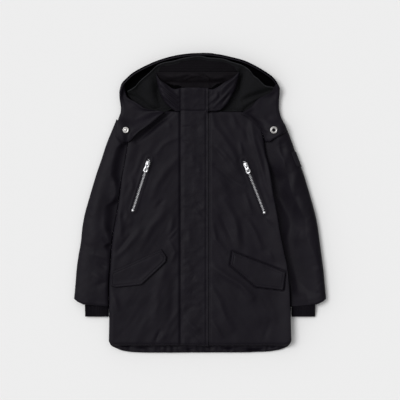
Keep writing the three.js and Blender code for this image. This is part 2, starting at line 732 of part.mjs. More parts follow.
// Half the space the sleeve halves leave for the cuff between them
function cuffRoom(x, y) {
  const room = CUFF_ROOM;
  const start = clamp((Math.abs(x) - CUFF.inner + room.start) / room.ramp, 0, 1);
  const across = start * ease((CUFF.outer + room.past - Math.abs(x)) / room.fade);
  const along = ease((CUFF.tuck + room.above - y) / room.blend);
  return GAP / 2 + (CUFF.wall + CUFF.ribRise + room.slack) * across * along;
}

// How the sleeves fall at their edges, and where the sleeve top slopes
const SLEEVE_EDGES = {
  outer: 20,
  inner: { seamed: 7, free: 13 },
  hem: { radius: 8, fall: 0.4 },
  top: { radius: 18, fall: 0.7, from: 150, width: 36 },
  under: { radius: 12, power: 1.2 },
};

function sleevePlan(side) {
  const sign = side === 'left' ? -1 : 1;
  const outer = curve(SLEEVE_SIDES, 'y', side);
  const body = side === 'left' ? bodyLeft : bodyRight;
  const inner = (y) => body(y) + sign * SLEEVE_SEAM_GAP;
  const corner = Math.abs(SLEEVE_SIDES[0][side]);
  const hemBy = polyline(SLEEVE_HEM, 'inward', 'y');
  const hem = (x) => hemBy(corner - Math.abs(x));
  const { from, width } = SLEEVE_EDGES.top;
  const topEdge = (x) => mix(SLEEVE_TOP.inner, SLEEVE_TOP.outer, clamp((Math.abs(x) - from) / width, 0, 1));
  const plan = side === 'left'
    ? betweenEdges(outer, inner, hem, topEdge)
    : betweenEdges(inner, outer, hem, topEdge);
  return { plan, outer, inner, hem, topEdge };
}

function sleeveRise(shape, x, y) {
  const sideOut = Math.abs(x - shape.outer(y));
  const sideIn = Math.abs(x - shape.inner(y));
  const fall = bodyFall(y);
  const edges = SLEEVE_EDGES;
  const inRise = 1 - fall * (1 - roundRise(sideIn, mix(edges.inner.seamed, edges.inner.free, fall)));
  const hemRise = 1 - edges.hem.fall * (1 - roundRise(y - shape.hem(x), edges.hem.radius));
  const topRise = 1 - edges.top.fall * (1 - roundRise(shape.topEdge(x) - y, edges.top.radius));
  return roundRise(sideOut, edges.outer) * inRise * hemRise * topRise;
}

// Columns across a sleeve, shares of its width from the outer to the inner edge
const SLEEVE_SHARES = [0, 0.03, 0.1, 0.22, 0.4, 0.6, 0.8, 0.93, 0.98, 1];
const SLEEVE_COLUMNS = {
  left: SLEEVE_SHARES,
  right: SLEEVE_SHARES.map((share) => 1 - share).reverse(),
};

function sleeveHalf(side, half) {
  const shape = sleevePlan(side);
  if (half === 'upper') {
    return clothSheet({
      us: SLEEVE_COLUMNS[side],
      vs: spread(19, 0.35, 0.35),
      plan: shape.plan,
      bottom: (x, y) => SEAM_HEIGHT + cuffRoom(x, y),
      top: (x, y) => SEAM_HEIGHT + GAP / 2 + EDGE_CLOTH
        + (SLEEVE_LOFT - EDGE_CLOTH + foldHeight(SLEEVE_FOLDS, x, y)) * sleeveRise(shape, x, y),
      cloth: EDGE_CLOTH,
    });
  }
  return clothSheet({
    us: SLEEVE_COLUMNS[side],
    vs: spread(12, 0.6, 0.4),
    plan: shape.plan,
    bottom: (x, y) => {
      const side = Math.min(Math.abs(x - shape.outer(y)), Math.abs(x - shape.inner(y)));
      const { radius, power } = SLEEVE_EDGES.under;
      return (BACK_LOFT - EDGE_CLOTH * 2) * (1 - roundRise(side, radius)) ** power;
    },
    top: (x, y) => SEAM_HEIGHT - cuffRoom(x, y),
    cloth: EDGE_CLOTH,
  });
}

// Hood shell: it lies on the surface and its crown edge stands up along the outline
function hoodShell() {
  const lengths = [0];
  for (let i = 1; i < HOOD_ARC.length; i += 1) {
    const step = Math.hypot(HOOD_ARC[i].x - HOOD_ARC[i - 1].x, HOOD_ARC[i].y - HOOD_ARC[i - 1].y);
    lengths.push(lengths[i - 1] + step);
  }
  const total = lengths[lengths.length - 1];
  const arc = HOOD_ARC.map((row, i) => ({ ...row, u: lengths[i] / total }));
  const arcX = curve(arc, 'u', 'x');
  const arcY = curve(arc, 'u', 'y');
  const arcRim = curve(arc, 'u', 'rim');
  const baseY = polyline(HOOD_BASE, 'x', 'y');
  const baseX = (u) => mix(HOOD_BASE[0].x, HOOD_BASE[HOOD_BASE.length - 1].x, u);
  const insets = RIM_SECTION.map((row) => row.inset);
  const shareAt = polyline(RIM_SECTION, 'inset', 'share');
  const reach = (u) => {
    const x = baseX(u);
    return Math.hypot(arcX(u) - x, arcY(u) - baseY(x));
  };
  const insetOf = (u, v) => {
    const scaled = v * (insets.length + 1);
    const k = Math.floor(scaled + 1e-6);
    const squeeze = Math.min(1, reach(u) / 20);
    if (k < insets.length) return insets[k] * squeeze;
    if (k === insets.length) return mix(insets[insets.length - 1] * squeeze, reach(u), 0.5);
    return reach(u);
  };
  const plan = (u, v) => {
    const x = baseX(u);
    const t = insetOf(u, v) / reach(u);
    return [mix(arcX(u), x, t), mix(arcY(u), baseY(x), t)];
  };
  const rows = insets.length + 2;
  const vs = Array.from({ length: rows }, (_, j) => j / (rows - 1));
  return clothSheet({
    us: spread(30, 0, 0),
    vs,
    plan,
    bottom: (x, y, u, v) => {
      const inset = insetOf(u, v);
      return inset < 9 ? arcRim(u) * 0.3 * (1 - roundRise(inset, 9)) : 0;
    },
    top: (x, y, u, v) => {
      const inset = insetOf(u, v);
      const floorHeight = HOOD_SHELL_CLOTH;
      return Math.max(floorHeight, arcRim(u) * shareAt(inset));
    },
    cloth: 2,
  });
}

const liningTopEdge = curve(LINING_SPAN, 'x', 'top');
const liningBottomEdge = curve(LINING_SPAN, 'x', 'bottom');
const neckLining = curve(NECK_LAYERS, 'y', 'lining');
const neckBack = curve(NECK_LAYERS, 'y', 'back');
const neckFront = curve(NECK_LAYERS, 'y', 'front');

function liningHeight(x, y) {
  const v = clamp((y - liningBottomEdge(x)) / (liningTopEdge(x) - liningBottomEdge(x)), 0, 1);
  const side = mix(LINING.sideBase, LINING.sideTop, ease(v));
  const centre = neckLining(y);
  const share = ease((Math.abs(x - LINING.middle) - LINING.neckHalf) / LINING.blend);
  const edge = roundRise(liningTopEdge(x) - y, LINING.edgeRadius);
  return mix(centre, side, share) - LINING.edgeFall * (1 - edge);
}

function hoodLining(on) {
  const first = LINING_SPAN[0].x;
  const last = LINING_SPAN[LINING_SPAN.length - 1].x;
  const plan = (u, v) => {
    const x = mix(first, last, u);
    return [x, mix(liningBottomEdge(x), liningTopEdge(x), v)];
  };
  return clothSheet({
    us: spread(22, 0.3, 0.3),
    vs: [0, 0.2, 0.42, 0.62, 0.78, 0.9, 0.96, 0.985, 1],
    plan,
    bottom: (x, y) => {
      const tip = roundRise(Math.min(x - first, last - x), LINING.tipRadius);
      return Math.max(LINING.floor, liningHeight(x, y) - LINING.cloth - LINING.tipCloth * (1 - tip));
    },
    top: (x, y) => liningHeight(x, y),
    on,
    cloth: 2.6,
  });
}

const collarLeft = curve(COLLAR_SIDES, 'y', 'left');
const collarRight = curve(COLLAR_SIDES, 'y', 'right');
const collarFrontTop = curve(COLLAR_FRONT_TOP, 'x', 'y');

function collarBack(on) {
  const plan = betweenEdges(collarLeft, collarRight, () => COLLAR.backBottom, () => COLLAR.backTop);
  return clothSheet({
    us: spread(10, 0.4, 0.4),
    vs: spread(7, 0, 0.4),
    plan,
    bottom: (x, y) => neckBack(y) - COLLAR.cloth,
    top: (x, y, u, v, z) => z + COLLAR.cloth * (1 - 0.35 * (1 - roundRise(COLLAR.backTop - y, 5))),
    on,
    cloth: 2,
  });
}

function collarFront(side, on) {
  const centre = CENTRE_X + (side === 'left' ? -GAP / 2 : GAP / 2);
  const plan = side === 'left'
    ? betweenEdges(collarLeft, () => centre, () => COLLAR.frontBottom, collarFrontTop)
    : betweenEdges(() => centre, collarRight, () => COLLAR.frontBottom, collarFrontTop);
  const outer = side === 'left' ? collarLeft : collarRight;
  return clothSheet({
    us: side === 'left' ? spread(9, 0.5, 0) : spread(9, 0, 0.5),
    vs: spread(8, 0.2, 0.5),
    plan,
    bottom: (x, y) => neckBack(y) + GAP,
    top: (x, y, u, v, z) => {
      const rise = Math.min(
        1 - 0.6 * (1 - roundRise(Math.abs(x - outer(y)), 7)),
        1 - 0.35 * (1 - roundRise(collarFrontTop(x) - y, 5)),
        1 - 0.2 * (1 - roundRise(y - COLLAR.frontBottom, 6)),
      );
      return z + (neckFront(y) - z) * rise;
    },
    on,
    cloth: 2,
  });
}

// A narrow strip that follows a path over the sheets below it
function ribbon({ path, width, steps, thick, base, on, across = 2, edge = 0.6 }) {
  const us = Array.from({ length: across + 1 }, (_, i) => i / across);
  const vs = Array.from({ length: steps + 1 }, (_, j) => j / steps);
  return clothSheet({
    us,
    vs,
    plan: (u, v) => {
      const [x, y, dx, dy] = path(v);
      const off = (u - 0.5) * width;
      return [x - dy * off, y + dx * off];
    },
    bottom: (x, y) => base(x, y),
    top: (x, y, u, v, z) => z + mix(thick * edge, thick, 1 - Math.abs(2 * u - 1)),
    on,
    cloth: 0.5,
  });
}

function hangerLoop(on) {
  const path = (v) => {
    const x = mix(HANGER.x1, HANGER.x2, v);
    const y = mix(HANGER.y1, HANGER.y2, v) + HANGER.rise * Math.sin(Math.PI * v);
    const slopeX = HANGER.x2 - HANGER.x1;
    const slopeY = HANGER.y2 - HANGER.y1 + HANGER.rise * Math.PI * Math.cos(Math.PI * v);
    const length = Math.hypot(slopeX, slopeY);
    return [x, y, slopeX / length, slopeY / length];
  };
  return ribbon({ path, width: HANGER.width, steps: 10, thick: HANGER.thick, base: () => HANGER.base, on });
}

function hoodFlap(side, on) {
  const table = side === 'left' ? FLAP_LEFT : FLAP_RIGHT;
  const outer = curve(table, 'y', 'outer');
  const inner = curve(table, 'y', 'inner');
  const low = table[0].y;
  const high = table[table.length - 1].y;
  return clothSheet({
    us: spread(7, 0.7, 0.7),
    vs: spread(18, 0, 0),
    plan: (u, v) => {
      const y = mix(low, high, v);
      return [mix(outer(y), inner(y), u), y];
    },
    bottom: () => FLAP.base,
    top: (x, y, u, v, z) => {
      const sides = Math.min(Math.abs(x - outer(y)), Math.abs(x - inner(y)));
      const ends = Math.min(y - low, high - y);
      const rise = Math.min(roundRise(sides, FLAP.radius), roundRise(ends, FLAP.radius));
      return z + mix(FLAP.edge, FLAP.loft, rise);
    },
    on,
    cloth: 2,
  });
}

function placket(on) {
  const columns = [PLACKET.left, -36, -25, CENTRE_X, -2, 8, 13, PLACKET.right];
  return clothSheet({
    us: columns.map((x) => (x - PLACKET.left) / (PLACKET.right - PLACKET.left)),
    vs: spread(28, 0, 0),
    plan: (u, v) => [
      mix(PLACKET.left, PLACKET.right, u),
      mix(PLACKET.bottom + PLACKET.slant * (1 - u), PLACKET.top, v),
    ],
    bottom: () => PLACKET.base,
    top: (x, y, u, v, z) => {
      const seam = ease((PLACKET.right - x) / PLACKET.seamWidth);
      const free = mix(PLACKET.edgeShare, 1, ease((x - PLACKET.left) / PLACKET.edgeWidth));
      return z + mix(PLACKET.seamThick, PLACKET.thick, seam) * free;
    },
    on,
    cloth: 1,
  });
}

function pocketFlap(side, on) {
  const table = side === 'left' ? POCKET_FLAP_LEFT : POCKET_FLAP_RIGHT;
  const last = table.length - 1;
  const us = [];
  for (let k = 0; k <= last; k += 1) {
    us.push(k / last);
    if (k > 0 && k < last - 1) us.push((k + 0.5) / last);
  }
  const at = (u) => {
    const k = Math.min(last - 1, Math.floor(u * last + 1e-9));
    const t = u * last - k;
    const row = (key) => mix(table[k][key], table[k + 1][key], t);
    return [row('topX'), row('topY'), row('bottomX'), row('bottomY')];
  };
  return clothSheet({
    us,
    vs: [0, 0.12, 0.37, 0.63, 0.88, 1],
    plan: (u, v) => {
      const [tx, ty, bx, by] = at(u);
      return [mix(bx, tx, v), mix(by, ty, v)];
    },
    bottom: () => SEAM_HEIGHT + 1,
    top: (x, y, u, v, z) => {
      const rim = Math.min(v / 0.12, (1 - v) / 0.12, (u * last) / 0.8, ((1 - u) * last) / 0.8, 1);
      return z + mix(POCKET_FLAP.edge, POCKET_FLAP.thick, ease(rim));
    },
    on,
    cloth: 1,
  });
}

// Direction of a chest zip, from its top stop to its bottom stop
function zipLine(side) {
  const zip = CHEST_ZIPS[side];
  const length = Math.hypot(zip.endX - zip.topX, zip.endY - zip.topY);
  const dx = (zip.endX - zip.topX) / length;
  const dy = (zip.endY - zip.topY) / length;
  return { zip, length, dx, dy };
}

function zipStrip(side, on) {
  const { zip, length, dx, dy } = zipLine(side);
  const path = (v) => [zip.topX + dx * length * v, zip.topY + dy * length * v, dx, dy];
  return ribbon({ path, width: ZIP.width, steps: 16, thick: ZIP.rise, base: () => SEAM_HEIGHT, on, edge: 0.7 });
}

function zipStop(side, on) {
  const { zip, dx, dy } = zipLine(side);
  const path = (v) => {
    const along = (v - 0.5) * ZIP_STOP.length + ZIP_STOP.length / 2 + GAP;
    return [zip.endX + dx * along, zip.endY + dy * along, dx, dy];
  };
  return ribbon({
    path, width: ZIP_STOP.width, steps: 2, thick: ZIP_STOP.rise, base: () => SEAM_HEIGHT, on, edge: 0.7,
  });
}

// Where the slider sits: its middle, the direction down the zip and the height of the strip under it
function sliderSeat(side, strip) {
  const { zip, dx, dy } = zipLine(side);
  const x = zip.topX + dx * SLIDER.fromTop;
  const y = zip.topY + dy * SLIDER.fromTop;
  let height = 0;
  for (let s = -SLIDER.length; s <= SLIDER.length + PULL.length; s += 1) {
    for (const off of [-ZIP.width / 2, 0, ZIP.width / 2]) {
      const below = heightOf(strip, x + dx * s - dy * off, y + dy * s + dx * off);
      if (below !== null) height = Math.max(height, below);
    }
  }
  return { x, y, dx, dy, height: height + GAP };
}

// Turns a shape drawn as (along the zip, up) with a width into the garment's frame
function placeOnZip(geometry, seat) {
  const along = new THREE.Vector3(seat.dx, seat.dy, 0);
  const up = new THREE.Vector3(0, 0, 1);
  const side = new THREE.Vector3().crossVectors(along, up);
  const frame = new THREE.Matrix4().makeBasis(along, up, side);
  frame.setPosition(seat.x, seat.y, seat.height);
  return geometry.applyMatrix4(frame);
}

function solidFrom(name, geometry, colour, roughness, metalness) {
  const plain = geometry.index ? geometry.toNonIndexed() : geometry;
  const array = plain.getAttribute('position').array;
  const seen = new Map();
  const positions = [];
  const faces = [];
  const corner = (k) => {
    const point = [array[3 * k], array[3 * k + 1], array[3 * k + 2]];
    const key = point.map((value) => Math.round(value * 2000)).join(',');
    if (!seen.has(key)) {
      seen.set(key, positions.length);
      positions.push(point);
    }
    return seen.get(key);
  };
  for (let k = 0; k < array.length / 3; k += 3) {
    const face = [corner(k), corner(k + 1), corner(k + 2)];
    if (new Set(face).size === 3) faces.push(face);
  }
  return pieceFrom(name, positions, faces, colour, roughness, metalness);
}

// Slider: a wedge-ended block with an arched bridge that holds the pull tab
function slider(side, seat) {
  const half = SLIDER.length / 2;
  const w = SLIDER.bridgeSpan / 2;
  const rise = SLIDER.thick + SLIDER.bridgeRise;
  const outline = new THREE.Shape();
  outline.moveTo(-half, 0);
  outline.lineTo(half, 0);
  outline.lineTo(half, SLIDER.endThick);
  outline.lineTo(half - 4.5, SLIDER.thick);
  outline.lineTo(-half + 3, SLIDER.thick);
  outline.lineTo(-half, SLIDER.endThick);
  outline.closePath();
  const block = new THREE.ExtrudeGeometry(outline, { depth: SLIDER.width, bevelEnabled: false });
  block.translate(0, 0, -SLIDER.width / 2);
  const arch = new THREE.Shape();
  arch.moveTo(-w - SLIDER.bridgeThick, SLIDER.thick - 0.5);
  arch.lineTo(-w - SLIDER.bridgeThick, rise - 1);
  arch.lineTo(-w, rise);
  arch.lineTo(w, rise);
  arch.lineTo(w + SLIDER.bridgeThick, rise - 1);
  arch.lineTo(w + SLIDER.bridgeThick, SLIDER.thick - 0.5);
  arch.lineTo(w, SLIDER.thick - 0.5);
  arch.lineTo(w, rise - SLIDER.bridgeThick - 0.6);
  arch.lineTo(w - 0.6, rise - SLIDER.bridgeThick);
  arch.lineTo(-w + 0.6, rise - SLIDER.bridgeThick);
  arch.lineTo(-w, rise - SLIDER.bridgeThick - 0.6);
  arch.lineTo(-w, SLIDER.thick - 0.5);
  arch.closePath();
  const bridge = new THREE.ExtrudeGeometry(arch, { depth: SLIDER.bridgeWidth, bevelEnabled: false });
  bridge.translate(0, 0, -SLIDER.bridgeWidth / 2);
  return joined(`slider_${side}`, [block, bridge], seat, COLOURS.metal);
}

function joined(name, geometries, seat, colour) {
  const solids = geometries.map((geometry) => {
    const mesh = solidFrom('part', placeOnZip(geometry, seat), colour, 0.3, 1);
    const position = mesh.geometry.getAttribute('position').array;
    const index = mesh.geometry.getIndex().array;
    return new wasm.Manifold(new wasm.Mesh({
      numProp: 3,
      vertProperties: new Float32Array(position),
      triVerts: new Uint32Array(index),
    }));
  });
  const whole = solids.reduce((sum, solid) => sum.add(solid)).getMesh();
  const geometry = new THREE.BufferGeometry();
  geometry.setAttribute('position', new THREE.BufferAttribute(new Float32Array(whole.vertProperties), 3));
  geometry.setIndex(Array.from(whole.triVerts));
  return solidFrom(name, geometry, colour, 0.3, 1);
}

// Pull tab: a flat plate with an eye round the slider's bridge and a hole near its end
function pullTab(side, seat) {
  const plate = new THREE.Shape();
  const neck = PULL.neckWidth / 2;
  const wide = PULL.width / 2;
  const back = -PULL.bar / 2;
  plate.moveTo(back, -neck);
  plate.lineTo(8, -neck);
  plate.lineTo(11, -wide);
  plate.lineTo(PULL.length - 2.5, -wide);
  plate.lineTo(PULL.length, -wide + 2.5);
  plate.lineTo(PULL.length, wide - 2.5);
  plate.lineTo(PULL.length - 2.5, wide);
  plate.lineTo(11, wide);
  plate.lineTo(8, neck);
  plate.lineTo(back, neck);
  plate.closePath();
  const eye = new THREE.Path();
  const bar = PULL.bar / 2;
  const slot = PULL.eyeWidth / 2;
  eye.moveTo(bar, -slot);
  eye.lineTo(bar, slot);
  eye.lineTo(PULL.eyeEnd, slot);
  eye.lineTo(PULL.eyeEnd, -slot);
  eye.closePath();
  plate.holes.push(eye);
  const hole = new THREE.Path();
  hole.absarc(PULL.length - 4.5, 0, PULL.hole, 0, 2 * Math.PI, true);
  plate.holes.push(hole);
  const body = new THREE.ExtrudeGeometry(plate, { depth: PULL.thick, bevelEnabled: false, curveSegments: 8 });
  body.translate(0, 0, -PULL.thick / 2);
  body.rotateX(-Math.PI / 2);
  body.rotateZ(THREE.MathUtils.degToRad(-PULL.tilt));
  body.translate(0, PULL_PIVOT_HEIGHT, 0);
  const placed = placeOnZip(body, seat);
  return solidFrom(`pull_${side}`, placed, COLOURS.metal, 0.3, 1);
}

// Round snap part turned about its upright axis, on the highest point of the flap under it
function snap(name, x, on, profile) {
  let seat = 0;
  for (let angle = 0; angle < 24; angle += 1) {
    for (const radius of [0, 3, 6, profile[0].x]) {
      const turn = (angle * Math.PI) / 12;
      const below = heightOf(on, x + radius * Math.cos(turn), SNAP.y + radius * Math.sin(turn));
      if (below !== null) seat = Math.max(seat, below);
    }
  }
  const geometry = new THREE.LatheGeometry(profile, 20);
  geometry.rotateX(Math.PI / 2);
  geometry.translate(x, SNAP.y, seat + GAP);
  return solidFrom(name, geometry, COLOURS.snap, 0.35, 1);
}

const studProfile = () => [
  new THREE.Vector2(SNAP.studRadius, 0),
  new THREE.Vector2(SNAP.studRadius, 0.9),
  new THREE.Vector2(SNAP.studRadius - 1.2, 1.5),
  new THREE.Vector2(3.4, 1.2),
  new THREE.Vector2(2.8, SNAP.rise + 0.8),
  new THREE.Vector2(0, SNAP.rise + 1),
  new THREE.Vector2(0, 0),
  new THREE.Vector2(SNAP.studRadius, 0),
];

const socketProfile = () => [
  new THREE.Vector2(SNAP.socketRadius, 0),
  new THREE.Vector2(SNAP.socketRadius, 1),
  new THREE.Vector2(SNAP.socketRadius - 1.5, SNAP.rise),
  new THREE.Vector2(SNAP.holeRadius + 2.4, SNAP.rise),
  new THREE.Vector2(SNAP.holeRadius, 1),
  new THREE.Vector2(SNAP.holeRadius, 0),
  new THREE.Vector2(SNAP.socketRadius, 0),
];

function armPatch(on) {
  const outer = curve(SLEEVE_SIDES, 'y', 'right');
  return clothSheet({
    us: [0, 0.3, 0.6, 0.85, 1],
    vs: [0, 0.1, 0.37, 0.63, 0.9, 1],
    plan: (u, v) => {
      const y = mix(ARM_PATCH.bottom, ARM_PATCH.top, v);
      return [outer(y) + ARM_PATCH.overhang - ARM_PATCH.across * (1 - u), y];
    },
    bottom: () => SEAM_HEIGHT - 1,
    top: (x, y, u, v, z) => z + ARM_PATCH.thick,
    on,
    cloth: ARM_PATCH.thick,
  });
}

const garment = new THREE.Group();
garment.name = 'parka';
const addSheet = (name, sheet, colour = COLOURS.shell) => garment.add(sheetMesh(name, sheet, colour));

const back = backPanel();
const front = { left: frontPanel('left'), right: frontPanel('right') };
const shell = hoodShell();
const lining = hoodLining([shell, front.left, front.right]);
const neckBackHalf = collarBack([lining]);
const collar = {
  left: collarFront('left', [neckBackHalf, lining]),
  right: collarFront('right', [neckBackHalf, lining]),
};
const closing = placket([front.left, front.right, collar.left, collar.right]);
addSheet('back_panel', back);
addSheet('front_panel_left', front.left);
addSheet('front_panel_right', front.right);
addSheet('hood_shell', shell);
addSheet('hood_lining', lining, COLOURS.lining);
addSheet('collar_back', neckBackHalf);
addSheet('collar_front_left', collar.left);
addSheet('collar_front_right', collar.right);
addSheet('placket', closing);
addSheet('hanger_loop', hangerLoop([neckBackHalf]));

for (const side of ['left', 'right']) {
  const upper = sleeveHalf(side, 'upper');
  addSheet(`sleeve_${side}_under`, sleeveHalf(side, 'under'));
  addSheet(`sleeve_${side}_upper`, upper);
  const rib = cuff(side);
  garment.add(pieceFrom(`cuff_${side}`, rib.positions, rib.faces, COLOURS.rib, 0.8, 0));
  const flap = hoodFlap(side, [front[side], upper, shell, lining]);
  addSheet(`hood_flap_${side}`, flap);
  addSheet(`pocket_flap_${side}`, pocketFlap(side, [front[side]]));
  const strip = zipStrip(side, [front[side]]);
  const seat = sliderSeat(side, strip);
  garment.add(sheetMesh(`zip_${side}`, strip, COLOURS.metal));
  garment.add(sheetMesh(`zip_stop_${side}`, zipStop(side, [front[side]]), COLOURS.metal));
  garment.add(slider(side, seat));
  garment.add(pullTab(side, seat));
  if (side === 'left') garment.add(snap('snap_stud_left', SNAP.leftX, flap, studProfile()));
  else {
    garment.add(snap('snap_socket_right', SNAP.rightX, flap, socketProfile()));
    addSheet('arm_patch', armPatch([upper]));
  }
}

export default garment;
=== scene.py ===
import math

import bmesh
import bpy
import numpy as np
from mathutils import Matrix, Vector


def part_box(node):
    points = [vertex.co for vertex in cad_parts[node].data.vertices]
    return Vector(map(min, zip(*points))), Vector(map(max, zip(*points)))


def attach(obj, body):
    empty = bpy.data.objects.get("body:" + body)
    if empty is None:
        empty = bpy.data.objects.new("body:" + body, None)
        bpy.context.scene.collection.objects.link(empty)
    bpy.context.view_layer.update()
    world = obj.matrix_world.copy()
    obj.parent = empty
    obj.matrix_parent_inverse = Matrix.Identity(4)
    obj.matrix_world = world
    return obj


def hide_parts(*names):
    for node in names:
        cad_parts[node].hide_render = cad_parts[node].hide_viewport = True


# A child's padded parka laid flat, seen from straight above.
# Tables are in millimetres, X across, Y from hem to hood, Z up, as in the frame.
# Folds are placed in view units: 2.2 mm each, x to the right and y down over the picture.
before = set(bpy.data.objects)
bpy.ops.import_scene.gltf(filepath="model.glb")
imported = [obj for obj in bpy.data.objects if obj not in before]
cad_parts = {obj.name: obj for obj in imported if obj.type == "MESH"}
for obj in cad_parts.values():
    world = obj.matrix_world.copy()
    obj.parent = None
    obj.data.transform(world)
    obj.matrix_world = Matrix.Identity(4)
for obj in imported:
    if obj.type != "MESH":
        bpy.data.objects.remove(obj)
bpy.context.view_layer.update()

MM = 0.001
UNIT = 2.2
VIEW_X, VIEW_Y = 200.1, 202.75

GAP = 0.3
SEAM_HEIGHT = 10.0
EDGE_CLOTH = 1.2
BACK_LOFT = SEAM_HEIGHT - GAP / 2
FRONT_LOFT = 11.5
SLEEVE_LOFT = 14.0
CENTRE_X = -13.0

# Body outline: height on the garment, left side, right side, how far the front turns down at its side
BODY_SIDES = [
    (-304, -201, 201, 1), (-249, -200, 199.5, 1), (-192, -200.5, 197.5, 1), (-159, -199, 194.5, 1),
    (-137, -197, 192, 1), (-115, -196, 187, 1), (-93, -194, 182.5, 1), (-64, -190.5, 176.5, 1),
    (-34, -185, 172.5, 0.9), (-5, -180, 167, 0.8), (24, -176, 161.5, 0.7), (54, -172, 157, 0.55),
    (83, -166.5, 151.5, 0.45), (105, -162.5, 145, 0.45), (134, -158.5, 140.5, 0.45), (165, -157.5, 135, 0.6),
]
SHOULDER_LINE = [(-157.5, 165), (-120, 184), (-77, 200.5), (11, 200.5), (92, 200.5), (115, 186), (135, 165)]
FRONT_HEM = [(-201, -304), (-197, -310), (-188, -313.5), (188, -313.5), (197, -310), (201, -304)]
BACK_HEM = [
    (-201, -305), (-196, -314), (-186, -320), (-171, -326), (-144, -329.5), (-118, -330.3), (-65, -330.5),
    (0, -330), (93, -330), (120, -329), (146, -328), (172, -324.5), (188, -319), (196, -313), (201, -305),
]
# Sleeve outer edges: height, left, right
SLEEVE_SIDES = [
    (-211, -277.3, 277.3), (-180, -274.5, 274.5), (-149, -272, 271.5), (-118, -268, 267.5),
    (-87, -262.5, 263.5), (-57, -259.5, 259.5), (-26, -254, 253.5), (5, -245.5, 245), (36, -236.5, 236),
    (67, -227, 226.5), (97, -216.5, 214.5), (128, -206.5, 204), (159, -194, 192.5), (181, -185, 182),
]
SLEEVE_HEM = [(0, -211.5), (8, -217.5), (21, -223.5), (45, -225), (77, -228)]
SLEEVE_TOP_OUTER, SLEEVE_TOP_INNER = 184, 166
SLEEVE_SEAM_GAP = 0.9
# The right sleeve reaches further under the body, and is pressed down beside it
SLEEVE_TUCK, SLEEVE_SINK = 2.6, 8

CUFF = dict(inner=201.6, outer=253.5, tuck=-211, end=-251, wall=2.5, ribs=26, rib_rise=0.45, droop=4)

# Hood outline: x, y, height of the crown edge
HOOD_ARC = [
    (-176, 195, 9), (-174, 208, 9), (-176, 221, 9), (-178, 236, 13), (-177, 249, 19), (-173, 262, 25),
    (-163, 273.5, 27), (-148, 286.5, 27), (-124, 300, 28), (-94.5, 313, 28), (-65, 322, 28), (-38.5, 327, 28),
    (-12, 329.5, 28), (14, 330, 28), (40.5, 327, 28), (67, 321.5, 28), (98, 313, 28), (125, 300, 28),
    (147.5, 286.5, 27), (163.5, 273.5, 26), (172, 260, 22), (175.5, 247, 15), (174.5, 234, 9),
    (173.5, 221, 9), (173.5, 208, 9), (175.5, 195, 9),
]
HOOD_BASE = [
    (-171, 189), (-157, 172), (-120, 191), (-77, 201), (11, 201), (95, 201), (118, 192), (139, 173),
    (170, 189),
]
# Hood rim: distance in from its edge, share of the crown height
RIM_SECTION = [
    (0, 0.35), (1.2, 0.62), (2.4, 0.9), (3.4, 0.97), (4.6, 0.97), (7, 1), (7.2, 0.97), (7.4, 0.6),
    (7.6, 0.2), (14, 0.2),
]
# The rim keeps its own cloth between these distances from its edge; on both sides of them it is painted
# near-black as deep shade
RIM_SHINE = (4.7, 7.1)
HOOD_SHELL_CLOTH = 4.5
# Hood lining: x, folded top edge, lower edge
LINING_SPAN = [
    (-159.5, 247, 237), (-152, 250.5, 229), (-143, 256, 219), (-132, 269, 211), (-117, 282, 197),
    (-106, 292, 190), (-92.5, 304.5, 189), (-79.5, 309.5, 198.5), (-57.5, 313.5, 206.5),
    (-35.5, 319.5, 206.5), (0, 324, 203), (17.5, 320.5, 201), (48, 318, 200.9), (70, 311, 200.9),
    (92, 304, 200.9), (103, 297.5, 202), (110, 291, 205), (116.5, 282, 208), (127.5, 273.5, 216),
    (136, 264.5, 223), (145, 258, 229), (154, 257, 234), (161.5, 256, 245),
]
# How far the lining stays below its folded edge, and how wide the band along the fold is that is painted
# lighter as a highlight
LINING_DROP, LIT_FOLD = 1.8, 3.6
# Neck layers: y, lining, collar back, collar front
NECK_LAYERS = [
    (200, 8.4, 12.2, 20), (220, 9.4, 13.4, 22.5), (237, 8, 13, 25), (252, 8.5, 14, 27),
    (262, 10.5, 16, 29), (275, 18.5, 22.5, 31.5), (287, 22.8, 27, 33), (300, 25, 28, 33), (325, 27, 28, 33),
]
# Collar sides: y, left, right; narrower below, where they turn in over the lining
COLLAR_WINGS = [
    (200.8, -54, 36), (206, -62, 48), (213, -70, 56), (222, -78, 63), (237, -86.5, 71), (252.5, -91.5, 79),
    (270, -95, 83.5), (287, -98, 86.5),
]
COLLAR_FRONT_TOP = [
    (-98, 285.5), (-88, 270), (-75, 261), (-55, 249.5), (-42, 252), (-13.5, 252.5), (17.5, 250.5),
    (26, 249), (39.5, 254.5), (52.5, 263.5), (68, 272), (86.5, 287.5),
]
COLLAR = dict(back_top=286, back_bottom=201, front_bottom=200.8, cloth=3.6)
HANGER = dict(x1=-35.5, y1=271, x2=19.5, y2=270, rise=9, width=5.5, thick=1.4)

# Hood flaps: y, outer edge, inner edge
FLAP_LEFT = [
    (132.5, -170.5, -156.5), (139, -177, -147.5), (147, -180.5, -141), (155.5, -181.5, -132),
    (164.5, -181.5, -119), (173.5, -181.5, -106), (181, -180.5, -97), (188.5, -178.5, -88.5),
    (194.5, -176.5, -81.5), (198.5, -175, -78.5), (201, -174.8, -84), (203.5, -174.6, -104),
    (208.5, -174.5, -123), (214.5, -175.2, -130.5), (221, -176, -141), (227.5, -176.9, -153),
    (234, -177.3, -160.5), (242, -177.3, -163), (259, -173, -166),
]
FLAP_RIGHT = [
    (133.5, 152.5, 143), (140.5, 163.5, 141), (147, 176, 139), (153.5, 185, 136), (159, 189.5, 133),
    (166.5, 188.5, 127.5), (175.5, 184.5, 118.5), (184.5, 180, 107.5), (191, 177.5, 97.5), (196.5, 176, 90),
    (200, 175, 95.5), (206.5, 173.8, 106.5), (215, 173.6, 115.5), (224, 173.8, 123), (230.5, 174.2, 130.5),
    (237, 174.7, 144), (243.5, 175, 156), (250.5, 175, 160.5), (259, 172, 165),
]
